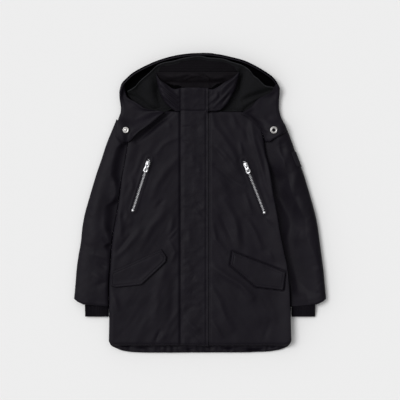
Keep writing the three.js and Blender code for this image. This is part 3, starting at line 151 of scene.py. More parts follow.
FLAP = dict(loft=6.5, edge=2.2, radius=8, base=9)

PLACKET = dict(left=-43, right=17.5, bottom=-315.5, top=252, thick=3.4, seam_thick=1.6)

# Pocket flaps, from the outer to the inner end: top edge x, y and bottom edge x, y
POCKET_FLAPS = {
    "left": [
        (-195.6, -152, -196, -182), (-184, -146.7, -185.5, -186), (-158, -135, -157, -183),
        (-130, -122, -128.5, -180), (-107, -111.5, -101, -154.5), (-89, -103.4, -74.5, -129.5),
        (-84.5, -101.5, -73, -119),
    ],
    "right": [
        (70.5, -106.5, 66, -137), (76, -108.5, 71, -141), (97, -116.7, 95, -161), (124, -127, 122.5, -185),
        (152, -138, 152, -188.5), (182, -149.7, 179, -191.8), (188, -152, 183, -192.4),
    ],
}
POCKET_FLAP = dict(thick=2.6, edge=1.2)

# Chest zips: x, y of the top stop and of the bottom stop
CHEST_ZIPS = {"left": (-111.5, 95, -146.5, -14), "right": (96.5, 91.5, 139.8, -19)}
# The cloth stays flat for this far beside a zip
ZIP_FLAT_REACH = 15
TAPE_WIDTH, TAPE_THICK = 10.2, 0.5
TOOTH = dict(length=1.15, width=2.9, height=1.7, chamfer=0.22, pitch=1.7, across=0.95, seat=0.9)

SNAP_Y = 159
SNAPS = {"left": -162.5, "right": 161}
ARM_PATCH = dict(top=112, bottom=79, across=12, overhang=2.2, thick=1.4)

# Stitch lines: above the hem, along the front and the placket, round a pocket flap
HEM_STITCH, FRONT_STITCH_X, PLACKET_STITCH_X = 3.4, 22.6, 13.0
POCKET_STITCH, POCKET_TOP_STITCH = 5.2, 1.9
STITCH = dict(length=2.6, pitch=3.6, wide=0.32, high=0.28, around=5)

# Folds: path in view units, half width in mm, height in mm (a hollow below 0)
FRONT_LEFT_FOLDS = [
    ([(172.5, 112), (154.5, 126.5), (137, 141)], 6, -5),
    ([(180.5, 137), (170, 140.5), (162, 145.5), (157, 153)], 5, 1.3),
    ([(176.5, 159), (167, 170), (158, 183), (153, 196)], 9, 2.4),
    ([(169, 124), (170, 128)], 5, 1.2),
    ([(142, 156), (138, 168), (133, 180)], 6, 1.3),
    ([(131, 178), (133, 188)], 6, 1.2),
    ([(164, 210), (158, 219), (151, 227), (146, 238)], 9, 2.3),
    ([(173, 218), (170, 232)], 6, 1.6),
    ([(177, 229), (169.5, 238)], 3, 1.3),
    ([(169.5, 242), (175, 252), (172.5, 260)], 4.5, 1.5),
    ([(120, 214), (121.5, 238)], 6, 1.6),
    ([(138.5, 232), (126, 248), (117, 256)], 7, 2),
    ([(132, 219), (129, 225)], 5, 1),
    ([(165, 268), (161, 281)], 10, 2),
    ([(158, 290), (155, 316)], 9, 1.5),
    ([(114, 296), (118, 308)], 6, 1.8),
    ([(180.5, 307), (171, 322), (166, 330)], 6, 0.9),
    ([(165, 334), (161, 338)], 6, 1.6),
    ([(157.5, 207), (163, 200.5)], 5, -1.6),
    ([(130, 236), (119, 250)], 5, -1.2),
    ([(160, 331), (156, 340)], 4, -2),
    ([(174, 278), (173, 300), (171, 325)], 9, -1.5),
    ([(124, 214), (123, 219)], 5, -1),
]
FRONT_RIGHT_FOLDS = [
    ([(211.5, 115), (214.5, 128), (221.5, 136), (232.5, 152), (236, 160)], 7, 2),
    ([(232, 116), (236, 126)], 6, 1.5),
    ([(240, 144), (242.5, 155)], 4, 1.4),
    ([(251, 124), (254.5, 144), (260, 162), (264.5, 183), (271, 199)], 6, 2),
    ([(258, 137), (267, 161), (272.5, 194)], 5, 1.5),
    ([(217.5, 148), (229, 159.5), (240.5, 176), (246, 184)], 7, 2),
    ([(218, 181), (228, 192)], 9, 2),
    ([(224, 200), (232, 215), (237, 228), (238.5, 246)], 9, 2.3),
    ([(213, 224), (216, 240), (226, 252)], 5, 1.6),
    ([(248, 220), (256, 234), (261, 247)], 5.5, 1.8),
    ([(245.5, 196), (251.5, 213)], 5, 1.6),
    ([(269, 252), (273, 259)], 5, 1.4),
    ([(213.5, 267), (224, 274.5), (241, 285), (252, 297)], 7, 3.2),
    ([(213, 289), (220.5, 303), (226, 321), (231, 328)], 7, 2),
    ([(213, 322), (221, 336)], 5, 1.5),
    ([(265.5, 216), (271, 222)], 5, 1.2),
    ([(213, 148), (222, 157)], 4, -1.2),
    ([(215, 165.5), (233, 181), (243, 186)], 5, -1.5),
    ([(221, 217), (231, 238)], 5.5, -1.6),
    ([(270, 322), (264, 338)], 6, -0.8),
    ([(246, 127), (248, 141)], 7, -1.5),
    ([(241, 220), (243, 240)], 8, -1),
]
SLEEVE_LEFT_FOLDS = [
    ([(114.5, 132), (122, 142), (124.5, 148)], 4, -1.8),
    ([(119, 132), (128, 144)], 4, 1.5),
    ([(122, 153), (120.5, 165), (119, 178)], 10, -4),
    ([(111, 203), (116, 216), (112.5, 229)], 9, -3.5),
    ([(104.5, 239), (111.5, 245.5)], 4.5, -2),
    ([(95, 254), (109, 258)], 7, 1.8),
    ([(100, 264), (108, 268)], 6, -1.8),
    ([(95, 274), (104, 280)], 6, 1.6),
    ([(98.5, 284), (107, 282)], 6, -1.8),
    ([(100, 180), (94, 215), (92, 240)], 15, 1.8),
]
SLEEVE_RIGHT_FOLDS = [
    ([(270, 149), (278, 141), (287, 135.5)], 7, 1.2),
    ([(281, 146), (283, 154)], 8, -2.5),
    ([(284.5, 160), (280, 176)], 7, 2.2),
    ([(288, 175), (280, 187)], 8, -2.8),
    ([(299, 169), (294, 185), (285, 195)], 10, 1.3),
    ([(284, 196), (281, 210)], 6, 2),
    ([(295, 197), (290, 216)], 6, -2),
    ([(302, 202), (294, 227), (296, 234)], 9, 1.2),
    ([(305, 240), (298.5, 253)], 7, -1.4),
    ([(300.5, 232), (296, 246)], 4, 1.4),
    ([(314, 265.5), (303.5, 275)], 6, -0.9),
    ([(319, 294), (316, 292)], 4, -1.2),
    ([(281, 238), (287, 231), (291, 222)], 5, -2.5),
]
LINING_FOLDS = [
    ([(147, 108), (158, 111), (170, 111)], 6, -8),
    ([(127, 93), (135, 97.5), (143, 103.5), (148, 108)], 6.5, -14),
    ([(154, 80), (158, 92), (163, 103), (171, 110)], 8, -6),
    ([(276, 87), (262, 93), (250, 97), (243, 100)], 5.5, -11),
    ([(268, 97), (256, 104), (247, 110), (243, 114)], 8, -13),
    ([(240, 76), (234, 94), (226, 108)], 11, -10),
    ([(243, 69), (240, 78)], 7, -7),
    ([(228, 110), (233, 106), (238, 109)], 3.5, 2.5),
    ([(150, 80), (147, 92)], 9, 1.5),
    ([(246, 70), (252, 84)], 10, 1.5),
    ([(132, 89), (138, 84)], 4, 1.5),
    ([(258, 80), (266, 88)], 4, 1.5),
]
COLLAR_BACK_FOLDS = [
    ([(166, 76.5), (176, 77.5), (186, 75)], 4, 2),
    ([(189, 75), (197, 77), (204, 80)], 4.5, 1.8),
    ([(168, 81), (178, 82.5)], 3, -1.5),
    ([(206, 76), (214, 79), (222, 78)], 4, 1.8),
    ([(216, 82), (226, 80)], 3, -1.5),
    ([(200, 73), (208, 79), (212, 85)], 3.5, -2),
]
COLLAR_LEFT_FOLDS = [
    ([(161, 85), (169, 92), (177, 97.5)], 2.8, 2.6),
    ([(162, 90.5), (170, 97), (177, 102.5)], 2.6, 2.4),
    ([(163, 95), (170, 101.5), (177, 107.5)], 2.6, 2.2),
    ([(167, 86.5), (176, 92)], 2.6, -1.5),
    ([(161.5, 81), (166, 86)], 3.5, 1.5),
]
COLLAR_RIGHT_FOLDS = [
    ([(237, 75), (226, 86), (213, 101)], 5, 1.8),
    ([(234, 86), (224, 97), (214, 107)], 3, 1.2),
    ([(219, 92), (219.5, 97)], 3.5, -2.2),
    ([(230, 94), (222, 104)], 3, -1.3),
    ([(214, 91), (222, 85)], 3, -1.1),
]
HEM_HOLLOWS = [
    ([(136, 347.8), (150, 348.2)], 2.2, -5),
    ([(161, 347), (179, 347)], 2, -4.5),
    ([(186, 349.5), (193, 350)], 2, -3.5),
    ([(204, 347.5), (214, 348)], 2, -3.5),
    ([(222, 348), (236, 349)], 2, -4.5),
    ([(244, 350), (262, 350)], 2.4, -5.5),
    ([(268, 347.5), (277, 346.5)], 2, -3.5),
    ([(120, 345.8), (131, 347)], 1.8, -3.5),
]
PLACKET_FOLDS = [
    ([(182, 127), (190, 126.5)], 2.5, -0.8),
    ([(182, 141), (187, 142)], 2.5, -0.8),
    ([(192, 155), (193.5, 163)], 6, 1.3),
    ([(199, 168), (200, 174)], 5, 1.1),
    ([(195, 199), (201.5, 206.5)], 3.5, -1.2),
    ([(196.5, 211), (203, 219.5)], 5, 1.3),
    ([(192, 277), (194, 278.5)], 6, -1.2),
    ([(191, 291), (194, 292)], 5, -1),
    ([(186, 319), (196, 329.5)], 5, 1.4),
    ([(190, 329), (200, 339.5)], 4, -1.3),
    ([(188, 225), (190, 245)], 6, 0.9),
    ([(187, 262), (191, 272)], 6, 0.9),
    ([(197, 300), (199, 311)], 6, 0.9),
]


def curve(table, a, b):
    """Smooth curve through two columns of a table, without overshoot."""
    xs = np.array([row[a] for row in table], float)
    ys = np.array([row[b] for row in table], float)
    slope = np.diff(ys) / np.diff(xs)
    tangent = np.empty(len(xs))
    tangent[0], tangent[-1] = slope[0], slope[-1]
    for i in range(1, len(xs) - 1):
        before, after = slope[i - 1], slope[i]
        tangent[i] = 0 if before * after <= 0 else 2 * before * after / (before + after)

    def value(x):
        x = np.clip(x, xs[0], xs[-1])
        i = np.clip(np.searchsorted(xs, x, "right") - 1, 0, len(xs) - 2)
        h = xs[i + 1] - xs[i]
        t = (x - xs[i]) / h
        return (
            (2 * t**3 - 3 * t**2 + 1) * ys[i]
            + (t**3 - 2 * t**2 + t) * h * tangent[i]
            + (3 * t**2 - 2 * t**3) * ys[i + 1]
            + (t**3 - t**2) * h * tangent[i + 1]
        )

    return value


def polyline(table):
    xs, ys = zip(*table)
    return lambda x: np.interp(x, xs, ys)


def ease(t):
    s = np.clip(t, 0, 1)
    return s * s * (3 - 2 * s)


def mix(a, b, t):
    return a + (b - a) * t


def round_rise(distance, radius):
    """Quarter-round rise from 0 at an edge to 1 at the radius."""
    t = np.clip(1 - distance / radius, 0, 1)
    return np.sqrt(1 - t * t)


def turned_edge(distance, radius, fall):
    """1 on the flat, rounded down by a share of the height towards an edge."""
    return 1 - fall * (1 - round_rise(distance, radius))


def ridge(distance, width, height):
    return height * np.exp(-((distance / width) ** 2))


def noise(x, y, size, seed):
    """Smooth noise from -1 to 1 with patches of the given size."""
    lattice = np.random.default_rng(seed).uniform(-1, 1, (128, 128))
    gx, gy = np.asarray(x) / size + 500.5, np.asarray(y) / size + 500.5
    ix, iy = np.floor(gx).astype(int), np.floor(gy).astype(int)
    fx, fy = ease(gx - ix), ease(gy - iy)
    corners = [lattice[(iy + dy) % 128, (ix + dx) % 128] for dy in (0, 1) for dx in (0, 1)]
    return mix(mix(corners[0], corners[1], fx), mix(corners[2], corners[3], fx), fy)


def blur(field, sigma):
    """Gaussian blur over the rows and columns of a grid."""
    reach = int(3 * sigma) + 1
    kernel = np.exp(-np.arange(-reach, reach + 1) ** 2 / (2 * sigma**2))
    kernel /= kernel.sum()
    for axis in (0, 1):
        pads = [(0, 0), (0, 0)]
        pads[axis] = (reach, reach)
        wide = np.pad(field, pads, mode="edge")
        count = field.shape[axis]
        field = sum(w * np.take(wide, np.arange(k, k + count), axis) for k, w in enumerate(kernel))
    return field


def view_point(x, y):
    return (x - VIEW_X) * UNIT, (VIEW_Y - y) * UNIT


def run_along(points):
    """Length of a path up to each of its points."""
    steps = np.hypot(*np.diff(np.asarray(points, float), axis=0).T)
    return np.concatenate([[0], np.cumsum(steps)])


def path_distance(points, x, y):
    """Distance from a path, and the share of its length at the nearest place."""
    before = run_along(points)
    best = np.full(np.shape(x), np.inf)
    share = np.zeros(np.shape(x))
    for k, length in enumerate(np.diff(before)):
        (ax, ay), (bx, by) = points[k], points[k + 1]
        t = np.clip(((x - ax) * (bx - ax) + (y - ay) * (by - ay)) / length**2, 0, 1)
        away = np.hypot(ax + t * (bx - ax) - x, ay + t * (by - ay) - y)
        share = np.where(away < best, (before[k] + t * length) / before[-1], share)
        best = np.minimum(best, away)
    return best, share


def fold_height(folds, x, y):
    total = np.zeros(np.shape(x))
    for path, width, height in folds:
        away, share = path_distance([view_point(*p) for p in path], x, y)
        taper = 0.5 + 0.5 * np.sin(np.pi * share)
        total += ridge(away, width, height * taper)
    return total


def groove(distance, width, depth):
    return ridge(distance, width, -depth)


def stations(length, step, edge=(0, 0.5, 1.1, 1.9, 3), far_edge=None):
    """Shares of a length: close together at its ends and a step apart between them."""
    far = edge if far_edge is None else far_edge
    first, last = edge[-1], length - far[-1]
    count = max(2, round((last - first) / step))
    inner = np.linspace(first, last, count + 1)
    whole = np.concatenate([edge[:-1], inner, length - np.array(far[:-1][::-1])])
    return whole / length


def between(us, vs, side_a, side_b, end_a, end_b):
    """Points of a panel between two side curves and two end curves."""
    u, v = np.meshgrid(us, vs)
    x = mix(side_a(0.0), side_b(0.0), u)
    for _ in range(6):
        y = mix(end_a(x), end_b(x), v)
        x = mix(side_a(y), side_b(y), u)
    return x, y


def half_panel(side, us, vs, outer, inner, end_a, end_b):
    """Points of a panel of the left or the right half, always from left to right."""
    if side == "left":
        return between(us, vs, outer, inner, end_a, end_b)
    return between(1 - us[::-1], vs, inner, outer, end_a, end_b)


def level(value):
    """A curve that has one value everywhere."""
    return lambda along: value + 0 * along


def middle_edge(side):
    return level(CENTRE_X + (-GAP / 2 if side == "left" else GAP / 2))


class Ground:
    """Height of all that has been laid so far, on a millimetre raster."""

    def __init__(self):
        self.left, self.bottom = -295, -350
        self.z = np.zeros((701, 591))

    def at(self, x, y, under=None):
        z = self.z if under is None else under
        gx = np.clip(x - self.left, 0, z.shape[1] - 1.001)
        gy = np.clip(y - self.bottom, 0, z.shape[0] - 1.001)
        ix, iy = gx.astype(int), gy.astype(int)
        corners = [z[iy + dy, ix + dx] for dy in (0, 1) for dx in (0, 1)]
        return np.maximum.reduce(corners)

    def lay(self, x, y, z):
        x, y, z = (finer(field, 3) for field in (x, y, z))
        ix = np.rint(x - self.left).astype(int)
        iy = np.rint(y - self.bottom).astype(int)
        inside = (ix >= 0) & (iy >= 0) & (ix < self.z.shape[1]) & (iy < self.z.shape[0])
        np.maximum.at(self.z, (iy[inside], ix[inside]), z[inside])


def finer(field, times):
    """The same grid with extra rows and columns between the old ones."""
    for axis in (0, 1):
        count = field.shape[axis]
        at = np.linspace(0, count - 1, (count - 1) * times + 1)
        low = np.minimum(at.astype(int), count - 2)
        share = np.expand_dims(at - low, 1 - axis)
        field = mix(np.take(field, low, axis), np.take(field, low + 1, axis), share)
    return field


ground = Ground()


def rest(x, y, spans=(5, 3, 1.5), clearance=GAP, under=None):
    """Lower face of a sheet over what is there: it clears it and spans its steps softly."""
    base = ground.at(x, y, under) + clearance
    low = base
    for sigma in spans:
        low = np.maximum(base, blur(low, sigma))
    return low


def slab(name, x, y, low, top, material, node=None, least=0):
    """Closed piece of cloth: a grid of points with a lower and an upper height and a least thickness."""
    top = np.maximum(top, low + least)
    count = x.size
    points = np.concatenate([np.stack([x, y, z], -1).reshape(-1, 3) for z in (low, top)])
    index = np.arange(count).reshape(x.shape)
    quads = np.stack([index[:-1, :-1], index[:-1, 1:], index[1:, 1:], index[1:, :-1]], -1).reshape(-1, 4)
    rim = np.concatenate([index[0, :], index[1:, -1], index[-1, -2::-1], index[-2:0:-1, 0]])
    after = np.roll(rim, -1)
    walls = np.stack([rim, after, after + count, rim + count], -1)
    faces = np.concatenate([quads[:, ::-1], quads + count, walls])
    turn = (x[0, -1] - x[0, 0]) * (y[-1, 0] - y[0, 0]) - (y[0, -1] - y[0, 0]) * (x[-1, 0] - x[0, 0])
    if turn < 0:
        faces = faces[:, ::-1]
    ground.lay(x, y, top)
    return mesh_object(name, points, faces, material, node)


def mesh_object(name, points, faces, material, node=None, sharp=55):
    mesh = bpy.data.meshes.new(name)
    mesh.from_pydata((np.asarray(points) * MM).tolist(), [], [[int(n) for n in face] for face in faces])
    mesh.validate()
    return finished(mesh, material, node, sharp)


def finished(mesh, material, node, sharp, body="garment"):
    """Makes a piece of a mesh: smooth but for its sharp edges, and in place of its solid."""
    mesh.shade_smooth()
    mesh.set_sharp_from_angle(angle=math.radians(sharp))
    mesh.materials.append(material)
    piece = placed(mesh.name, mesh)
    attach(piece, body)
    if node:
        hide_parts(node)
    return piece


def placed(name, data):
    """A new object of the scene."""
    thing = bpy.data.objects.new(name, data)
    bpy.context.scene.collection.objects.link(thing)
    return thing


def tube_faces(rings, around, closed):
    """Faces between rings of points: the last ring meets the first one, or both ends are capped."""
    faces = []
    for a in range(rings if closed else rings - 1):
        b = (a + 1) % rings
        for k in range(around):
            n = (k + 1) % around
            faces.append([a * around + k, a * around + n, b * around + n, b * around + k])
    if not closed:
        faces.append(list(range(around))[::-1])
        faces.append(list(range((rings - 1) * around, rings * around)))
    return faces


def second_material(piece, material, field):
    """Gives another material to the upper faces of a slab whose points all have a value above 0: painted
    shade or a painted highlight.
    """
    mesh = piece.data
    mesh.materials.append(material)
    value = np.concatenate([np.full(field.size, -1.0), field.ravel()])
    for face in mesh.polygons:
        if min(value[n] for n in face.vertices) > 0:
            face.material_index = len(mesh.materials) - 1


# Materials

def new_material(name):
    """A material, its nodes, a function that joins two sockets, and its shader."""
    material = bpy.data.materials.new(name)
    material.use_nodes = True
    tree = material.node_tree
    return material, tree.nodes, joiner(tree), tree.nodes["Principled BSDF"]


def joiner(tree):
    def join(source, output, target, socket):
        tree.links.new(source.outputs[output], target.inputs[socket])

    return join


def add(nodes, kind, **values):
    """A shader node with its properties and input values set."""
    node = nodes.new(kind)
    for key, value in values.items():
        if hasattr(node, key):
            setattr(node, key, value)
        else:
            node.inputs[key.replace("_", " ")].default_value = value
    return node


def two_tones(nodes, join, tone, shader, dark, light, spread=(0, 1)):
    """Colour between two tones, led by a noise."""
    ramp = add(nodes, "ShaderNodeValToRGB")
    for element, colour, position in zip(ramp.color_ramp.elements, (dark, light), spread):
        element.color = (*colour, 1)
        element.position = position
    join(tone, "Fac", ramp, "Fac")
    join(ramp, "Color", shader, "Base Color")


def uneven_gloss(nodes, join, tone, shader, least, most):
    """Roughness between two values, led by a noise."""
    wear = add(nodes, "ShaderNodeMapRange", To_Min=least, To_Max=most)
    join(tone, "Fac", wear, "Value")
    join(wear, "Result", shader, "Roughness")


def bump(nodes, join, height, distance):
    node = add(nodes, "ShaderNodeBump", Strength=1.0, Distance=distance)
    join(height, "Fac", node, "Height")
    return node


# Tints of the sheen, and the depth of the scratches in metres
PLAIN, VIOLET, GREEN, BLUE = (0.8, 0.8, 0.8), (0.8, 0.75, 0.9), (0.8, 0.9, 0.85), (0.8, 0.8, 0.9)
SCRATCH_DEPTH = 0.00002


def cloth_material(name, dark, light, roughness, specular, sheen=0.0, tint=PLAIN,
                   weave=420, weave_bump=0.00003, crinkle_bump=0.0003):
    """Woven cloth: diagonal weave, uneven tone, fine crinkles and a soft sheen."""
    material, nodes, join, shader = new_material(name)
    place = add(nodes, "ShaderNodeTexCoord")
    tone = add(nodes, "ShaderNodeTexNoise", Scale=22.0, Detail=4.0, Roughness=0.55)
    join(place, "Object", tone, "Vector")
    two_tones(nodes, join, tone, shader, dark, light, (0.3, 0.7))
    uneven_gloss(nodes, join, tone, shader, roughness - 0.05, roughness + 0.05)
    shader.inputs["Specular IOR Level"].default_value = specular
    shader.inputs["Sheen Weight"].default_value = sheen
    shader.inputs["Sheen Roughness"].default_value = 0.45
    shader.inputs["Sheen Tint"].default_value = (*tint, 1)
    turn = add(nodes, "ShaderNodeMapping", Rotation=(0, 0, math.radians(38)))
    join(place, "Object", turn, "Vector")
    threads = add(nodes, "ShaderNodeTexWave", wave_type="BANDS", bands_direction="X",
                  Scale=weave, Distortion=0.6, Detail=1.0)
    join(turn, "Vector", threads, "Vector")
    crinkle = add(nodes, "ShaderNodeTexNoise", Scale=95.0, Detail=5.0, Roughness=0.6)
    join(place, "Object", crinkle, "Vector")
    fine = bump(nodes, join, threads, weave_bump)
    join(bump(nodes, join, crinkle, crinkle_bump), "Normal", fine, "Normal")
    join(fine, "Normal", shader, "Normal")
    return material


def metal_material(name, colour, roughness):
    """Polished cast metal with fine scratches and worn, duller patches."""
    material, nodes, join, shader = new_material(name)
    place = add(nodes, "ShaderNodeTexCoord")
    patches = add(nodes, "ShaderNodeTexNoise", Scale=420.0, Detail=3.0, Roughness=0.6)
    join(place, "Object", patches, "Vector")
    two_tones(nodes, join, patches, shader, [channel * 0.82 for channel in colour], colour)
    uneven_gloss(nodes, join, patches, shader, roughness - 0.06, roughness + 0.1)
    shader.inputs["Metallic"].default_value = 1.0
    lines = add(nodes, "ShaderNodeTexNoise", Scale=2400.0, Detail=2.0)
    join(place, "Object", lines, "Vector")
    join(bump(nodes, join, lines, SCRATCH_DEPTH), "Normal", shader, "Normal")
    return material


# Each cloth: dark and light tone, roughness, specular level, then what differs from plain cloth
FLEECE = dict(sheen=0.03, tint=GREEN, weave=700, weave_bump=0.0001, crinkle_bump=0.0004)
SHELL = cloth_material("shell_cloth", (0.0054, 0.0043, 0.0071), (0.0070, 0.0057, 0.0090), 0.56, 0.09,
                       tint=VIOLET, weave_bump=0.00002)
# Darker fleece painted on the lining deep inside the hood, as the shade that lies there
LINING_PAINTED_SHADE = cloth_material("lining_painted_shade", (0.0034, 0.0028, 0.0038), (0.0048, 0.0041, 0.0054), 0.75, 0.05)
# Lighter fleece painted along the lining's folded edge as a highlight
LINING_PAINTED_HIGHLIGHT = cloth_material("lining_fold", (0.0150, 0.0150, 0.0170), (0.0180, 0.0180, 0.0205), 0.85, 0.08,
                           **FLEECE)
# Cloth inside the collar and of the hanger loop: a darker facing, and partly painted shade of the neck
# opening
NECK_CLOTH_AND_SHADE = cloth_material("neck_cloth_and_painted_shade", (0.0050, 0.0041, 0.0053), (0.0068, 0.0057, 0.0073), 0.7, 0.06)
# Near-black cloth painted as deep shade: inside the hood, on the rim's outer wall and in the neck opening
PAINTED_DEEP_SHADE = cloth_material("deep_painted_shade", (0.0012, 0.0011, 0.0014), (0.0018, 0.0016, 0.0020), 0.9, 0.01)
LINING = cloth_material("lining_fleece", (0.0060, 0.0060, 0.0069), (0.0080, 0.0080, 0.0090), 0.85, 0.08,
                        **FLEECE)
RIB = cloth_material("rib_knit", (0.0044, 0.0036, 0.0057), (0.0057, 0.0047, 0.0073), 0.8, 0.08,
                     tint=VIOLET, weave=900, weave_bump=0.0002, crinkle_bump=0.0002)
TAPE = cloth_material("zip_tape", (0.0084, 0.0072, 0.0104), (0.0106, 0.0090, 0.0130), 0.7, 0.12,
                      weave=1400, weave_bump=0.0001, crinkle_bump=0.00008)
THREAD = cloth_material("thread", (0.0096, 0.0082, 0.0118), (0.0130, 0.0112, 0.0158), 0.6, 0.15,
                        tint=BLUE, weave=3000, weave_bump=0.00005, crinkle_bump=0.00002)
ZIP_METAL = metal_material("zip_metal", (0.86, 0.86, 0.88), 0.28)
SNAP_METAL = metal_material("snap_metal", (0.46, 0.45, 0.44), 0.36)

body_left = curve(BODY_SIDES, 0, 1)
body_right = curve(BODY_SIDES, 0, 2)
body_fall = curve(BODY_SIDES, 0, 3)
shoulder = polyline(SHOULDER_LINE)
front_hem = polyline(FRONT_HEM)
back_hem = curve(BACK_HEM, 0, 1)


# Body

def back_panel():
    us = stations(400, 3.2, edge=(0, 1, 2.2, 3.8, 6, 9, 12.5))
    vs = stations(520, 6, edge=(0, 0.6, 1.4, 2.4, 3.6, 5, 7, 9, 11.5, 14, 16.5, 19, 22, 26))
    x, y = between(us, vs, body_left, body_right, back_hem, shoulder)
    side = np.minimum(x - body_left(y), body_right(y) - x)
    end = np.minimum(y - back_hem(x), shoulder(x) - y)
    rise = np.minimum(round_rise(side, 12), round_rise(end, 7))
    low = (BACK_LOFT - EDGE_CLOTH) * (1 - rise) * np.where(side < 12, 1, 0.5)
    hem_line = y - front_hem(x)
    top = np.where(hem_line > 0, BACK_LOFT, BACK_LOFT - 1.5 * ease(-hem_line / 12))
    gathers = noise(x, y * 0.25, 7, 3) + 0.6 * noise(x, y * 0.3, 3.6, 4)
    top = top - ease((1.5 - hem_line) / 4) * (1.6 + 1.5 * gathers)
    top = top - 1.6 * (1 - round_rise(end, 3)) + fold_height(HEM_HOLLOWS, x, y)
    low = low + 0.25 * ease((1.5 - hem_line) / 6) * (1 + gathers)
    return slab("back", x, y, np.maximum(low, 0), np.maximum(top, low + EDGE_CLOTH), SHELL, "back_panel")


def zip_distance(side, x, y):
    x1, y1, x2, y2 = CHEST_ZIPS[side]
    return path_distance([(x1, y1), (x2, y2)], x, y)[0]


def pocket_edges(side):
    """Top and bottom edge of a pocket flap, one after the other round it."""
    table = POCKET_FLAPS[side]
    return [row[:2] for row in table], [row[2:] for row in table[::-1]]


def pocket_ring(side):
    top, bottom = pocket_edges(side)
    return top + bottom + top[:1]


def placket_bed(x, depth, start):
    """How much lower the cloth lies under the placket."""
    return depth * ease((x - start) / 6) * ease((25 - x) / 16)


def front_top(x, y, side):
    edge = np.minimum(x - body_left(y), body_right(y) - x)
    hem = y - front_hem(x)
    neck = shoulder(x) - y
    zip_away = zip_distance(side, x, y)
    calm = ease((zip_away - 4) / ZIP_FLAT_REACH)
    folds = 1.25 * fold_height(FRONT_LEFT_FOLDS if side == "left" else FRONT_RIGHT_FOLDS, x, y)
    lean = -0.55 if side == "left" else 0.55
    along = x + lean * y
    wrinkles = 0.55 * noise(along, y * 0.35, 17, 11) + 0.25 * noise(along, y * 0.4, 9, 12)
    puffs = 1.6 * noise(x, y, 52, 13) + 0.8 * noise(x, y, 24, 14)
    near_placket = ease(1 - np.abs(x - CENTRE_X) / 34)
    loft = FRONT_LOFT + (folds + wrinkles * ease(edge / 20) + puffs) * calm * (1 - 0.6 * near_placket)
    fall = body_fall(y)
    radius = 10 if side == "left" else mix(6, 2.8, fall)
    side_fall = fall * (0.5 + 0.5 * ease((-235 - y) / 12)) if side == "left" else fall
    side_rise = turned_edge(edge, radius, side_fall)
    if side == "right":
        loft = loft + ridge(edge - 2, 18, 5.5) * ease((110 - y) / 60)
    hem_rise = turned_edge(hem, 9, 0.55)
    shoulder_fall = np.where(np.abs(x - 8) > 88, 0.6, 0.25)
    neck_rise = turned_edge(neck, 10, shoulder_fall)
    top = SEAM_HEIGHT + GAP / 2 + EDGE_CLOTH + (loft - EDGE_CLOTH) * side_rise * hem_rise * neck_rise
    top = top + groove(hem - HEM_STITCH, 1.1, 0.9)
    top = top + groove(zip_away, 4.2, 1.0) + ridge(zip_away - 6.5, 2.4, 0.9)
    top = top - placket_bed(x, 3, -48.5)
    if side == "right":
        top = top + groove(x - FRONT_STITCH_X, 1.6, 0.8)
        top = top + groove(path_distance(pocket_ring(side), x, y)[0], 2.2, 2.6)
    return top


def front(side):
    fine = (0, 0.6, 1.4, 2.4, 3.8)
    us = stations(188 if side == "left" else 206, 1.9, edge=fine, far_edge=(0, 2))
    vs = stations(514, 2.3, edge=(0, 0.5, 1.2, 2, 2.7, 3.4, 4.1, 4.9, 6), far_edge=fine)
    outer = body_left if side == "left" else body_right
    x, y = half_panel(side, us, vs, outer, middle_edge(side), front_hem, shoulder)
    low = np.full(x.shape, SEAM_HEIGHT + GAP / 2)
    return slab(f"front_{side}", x, y, low, front_top(x, y, side), SHELL, f"front_panel_{side}", EDGE_CLOTH)


# Sleeves and cuffs

# How far the sleeves stay low beside the body, by height on the garment
SLEEVE_HOLLOW = curve([
    (-235, 22), (-214, 21), (-170, 18), (-126, 12), (-82, 15), (-42, 28), (0, 16), (28, 9), (70, 5),
    (130, 0), (190, -10),
], 0, 1)
SLEEVE_DIP = curve([
    (-235, 0), (-130, 0), (-108, 3), (-96, 10), (-86, 3), (-70, 6), (-45, 17), (-10, 20), (4, 8),
    (20, 3), (45, 8), (62, 17), (90, 19), (118, 16), (135, 5), (190, 0),
], 0, 1)


def cuff_room(x, y):
    """Room for the cuff between the two halves of a sleeve."""
    far = np.abs(x)
    across = np.clip((far - CUFF["inner"] + 2.8) / 1.6, 0, 1) * ease((CUFF["outer"] + 11 - far) / 8)
    along = ease((CUFF["tuck"] + 44 - y) / 28)
    return GAP / 2 + (CUFF["wall"] + CUFF["rib_rise"] + 0.3) * across * along


def sleeve_shape(side):
    sign = -1 if side == "left" else 1
    outer = curve(SLEEVE_SIDES, 0, 1 if side == "left" else 2)
    body = body_left if side == "left" else body_right
    corner = abs(float(outer(SLEEVE_SIDES[0][0])))
    tuck = 0 if side == "left" else SLEEVE_TUCK
    hem_by = polyline(SLEEVE_HEM)
    return dict(
        outer=outer,
        inner=lambda y: body(y) + sign * SLEEVE_SEAM_GAP - tuck * ease((140 - y) / 30),
        hem=lambda x: hem_by(corner - np.abs(x)),
        top=lambda x: mix(SLEEVE_TOP_INNER, SLEEVE_TOP_OUTER, np.clip((np.abs(x) - 150) / 36, 0, 1)),
    )


def sleeve_grid(side, shape, us, vs):
    return half_panel(side, us, vs, shape["outer"], shape["inner"], shape["hem"], shape["top"])


def sleeve_sink(x, y, side, shape):
    """How far the right sleeve is pressed down beside the body."""
    if side == "left":
        return 0 * x
    away = np.abs(x - shape["inner"](y))
    hollow = SLEEVE_HOLLOW(y) + 2
    slope = 1 - 0.85 * ease(1 - away / hollow) * ease((hollow - 12) / 8)
    beside = ease(1.3 - away / (hollow + 30))
    return SLEEVE_SINK * slope * beside * ease((90 - y) / 40) * ease((y + 214) / 24)


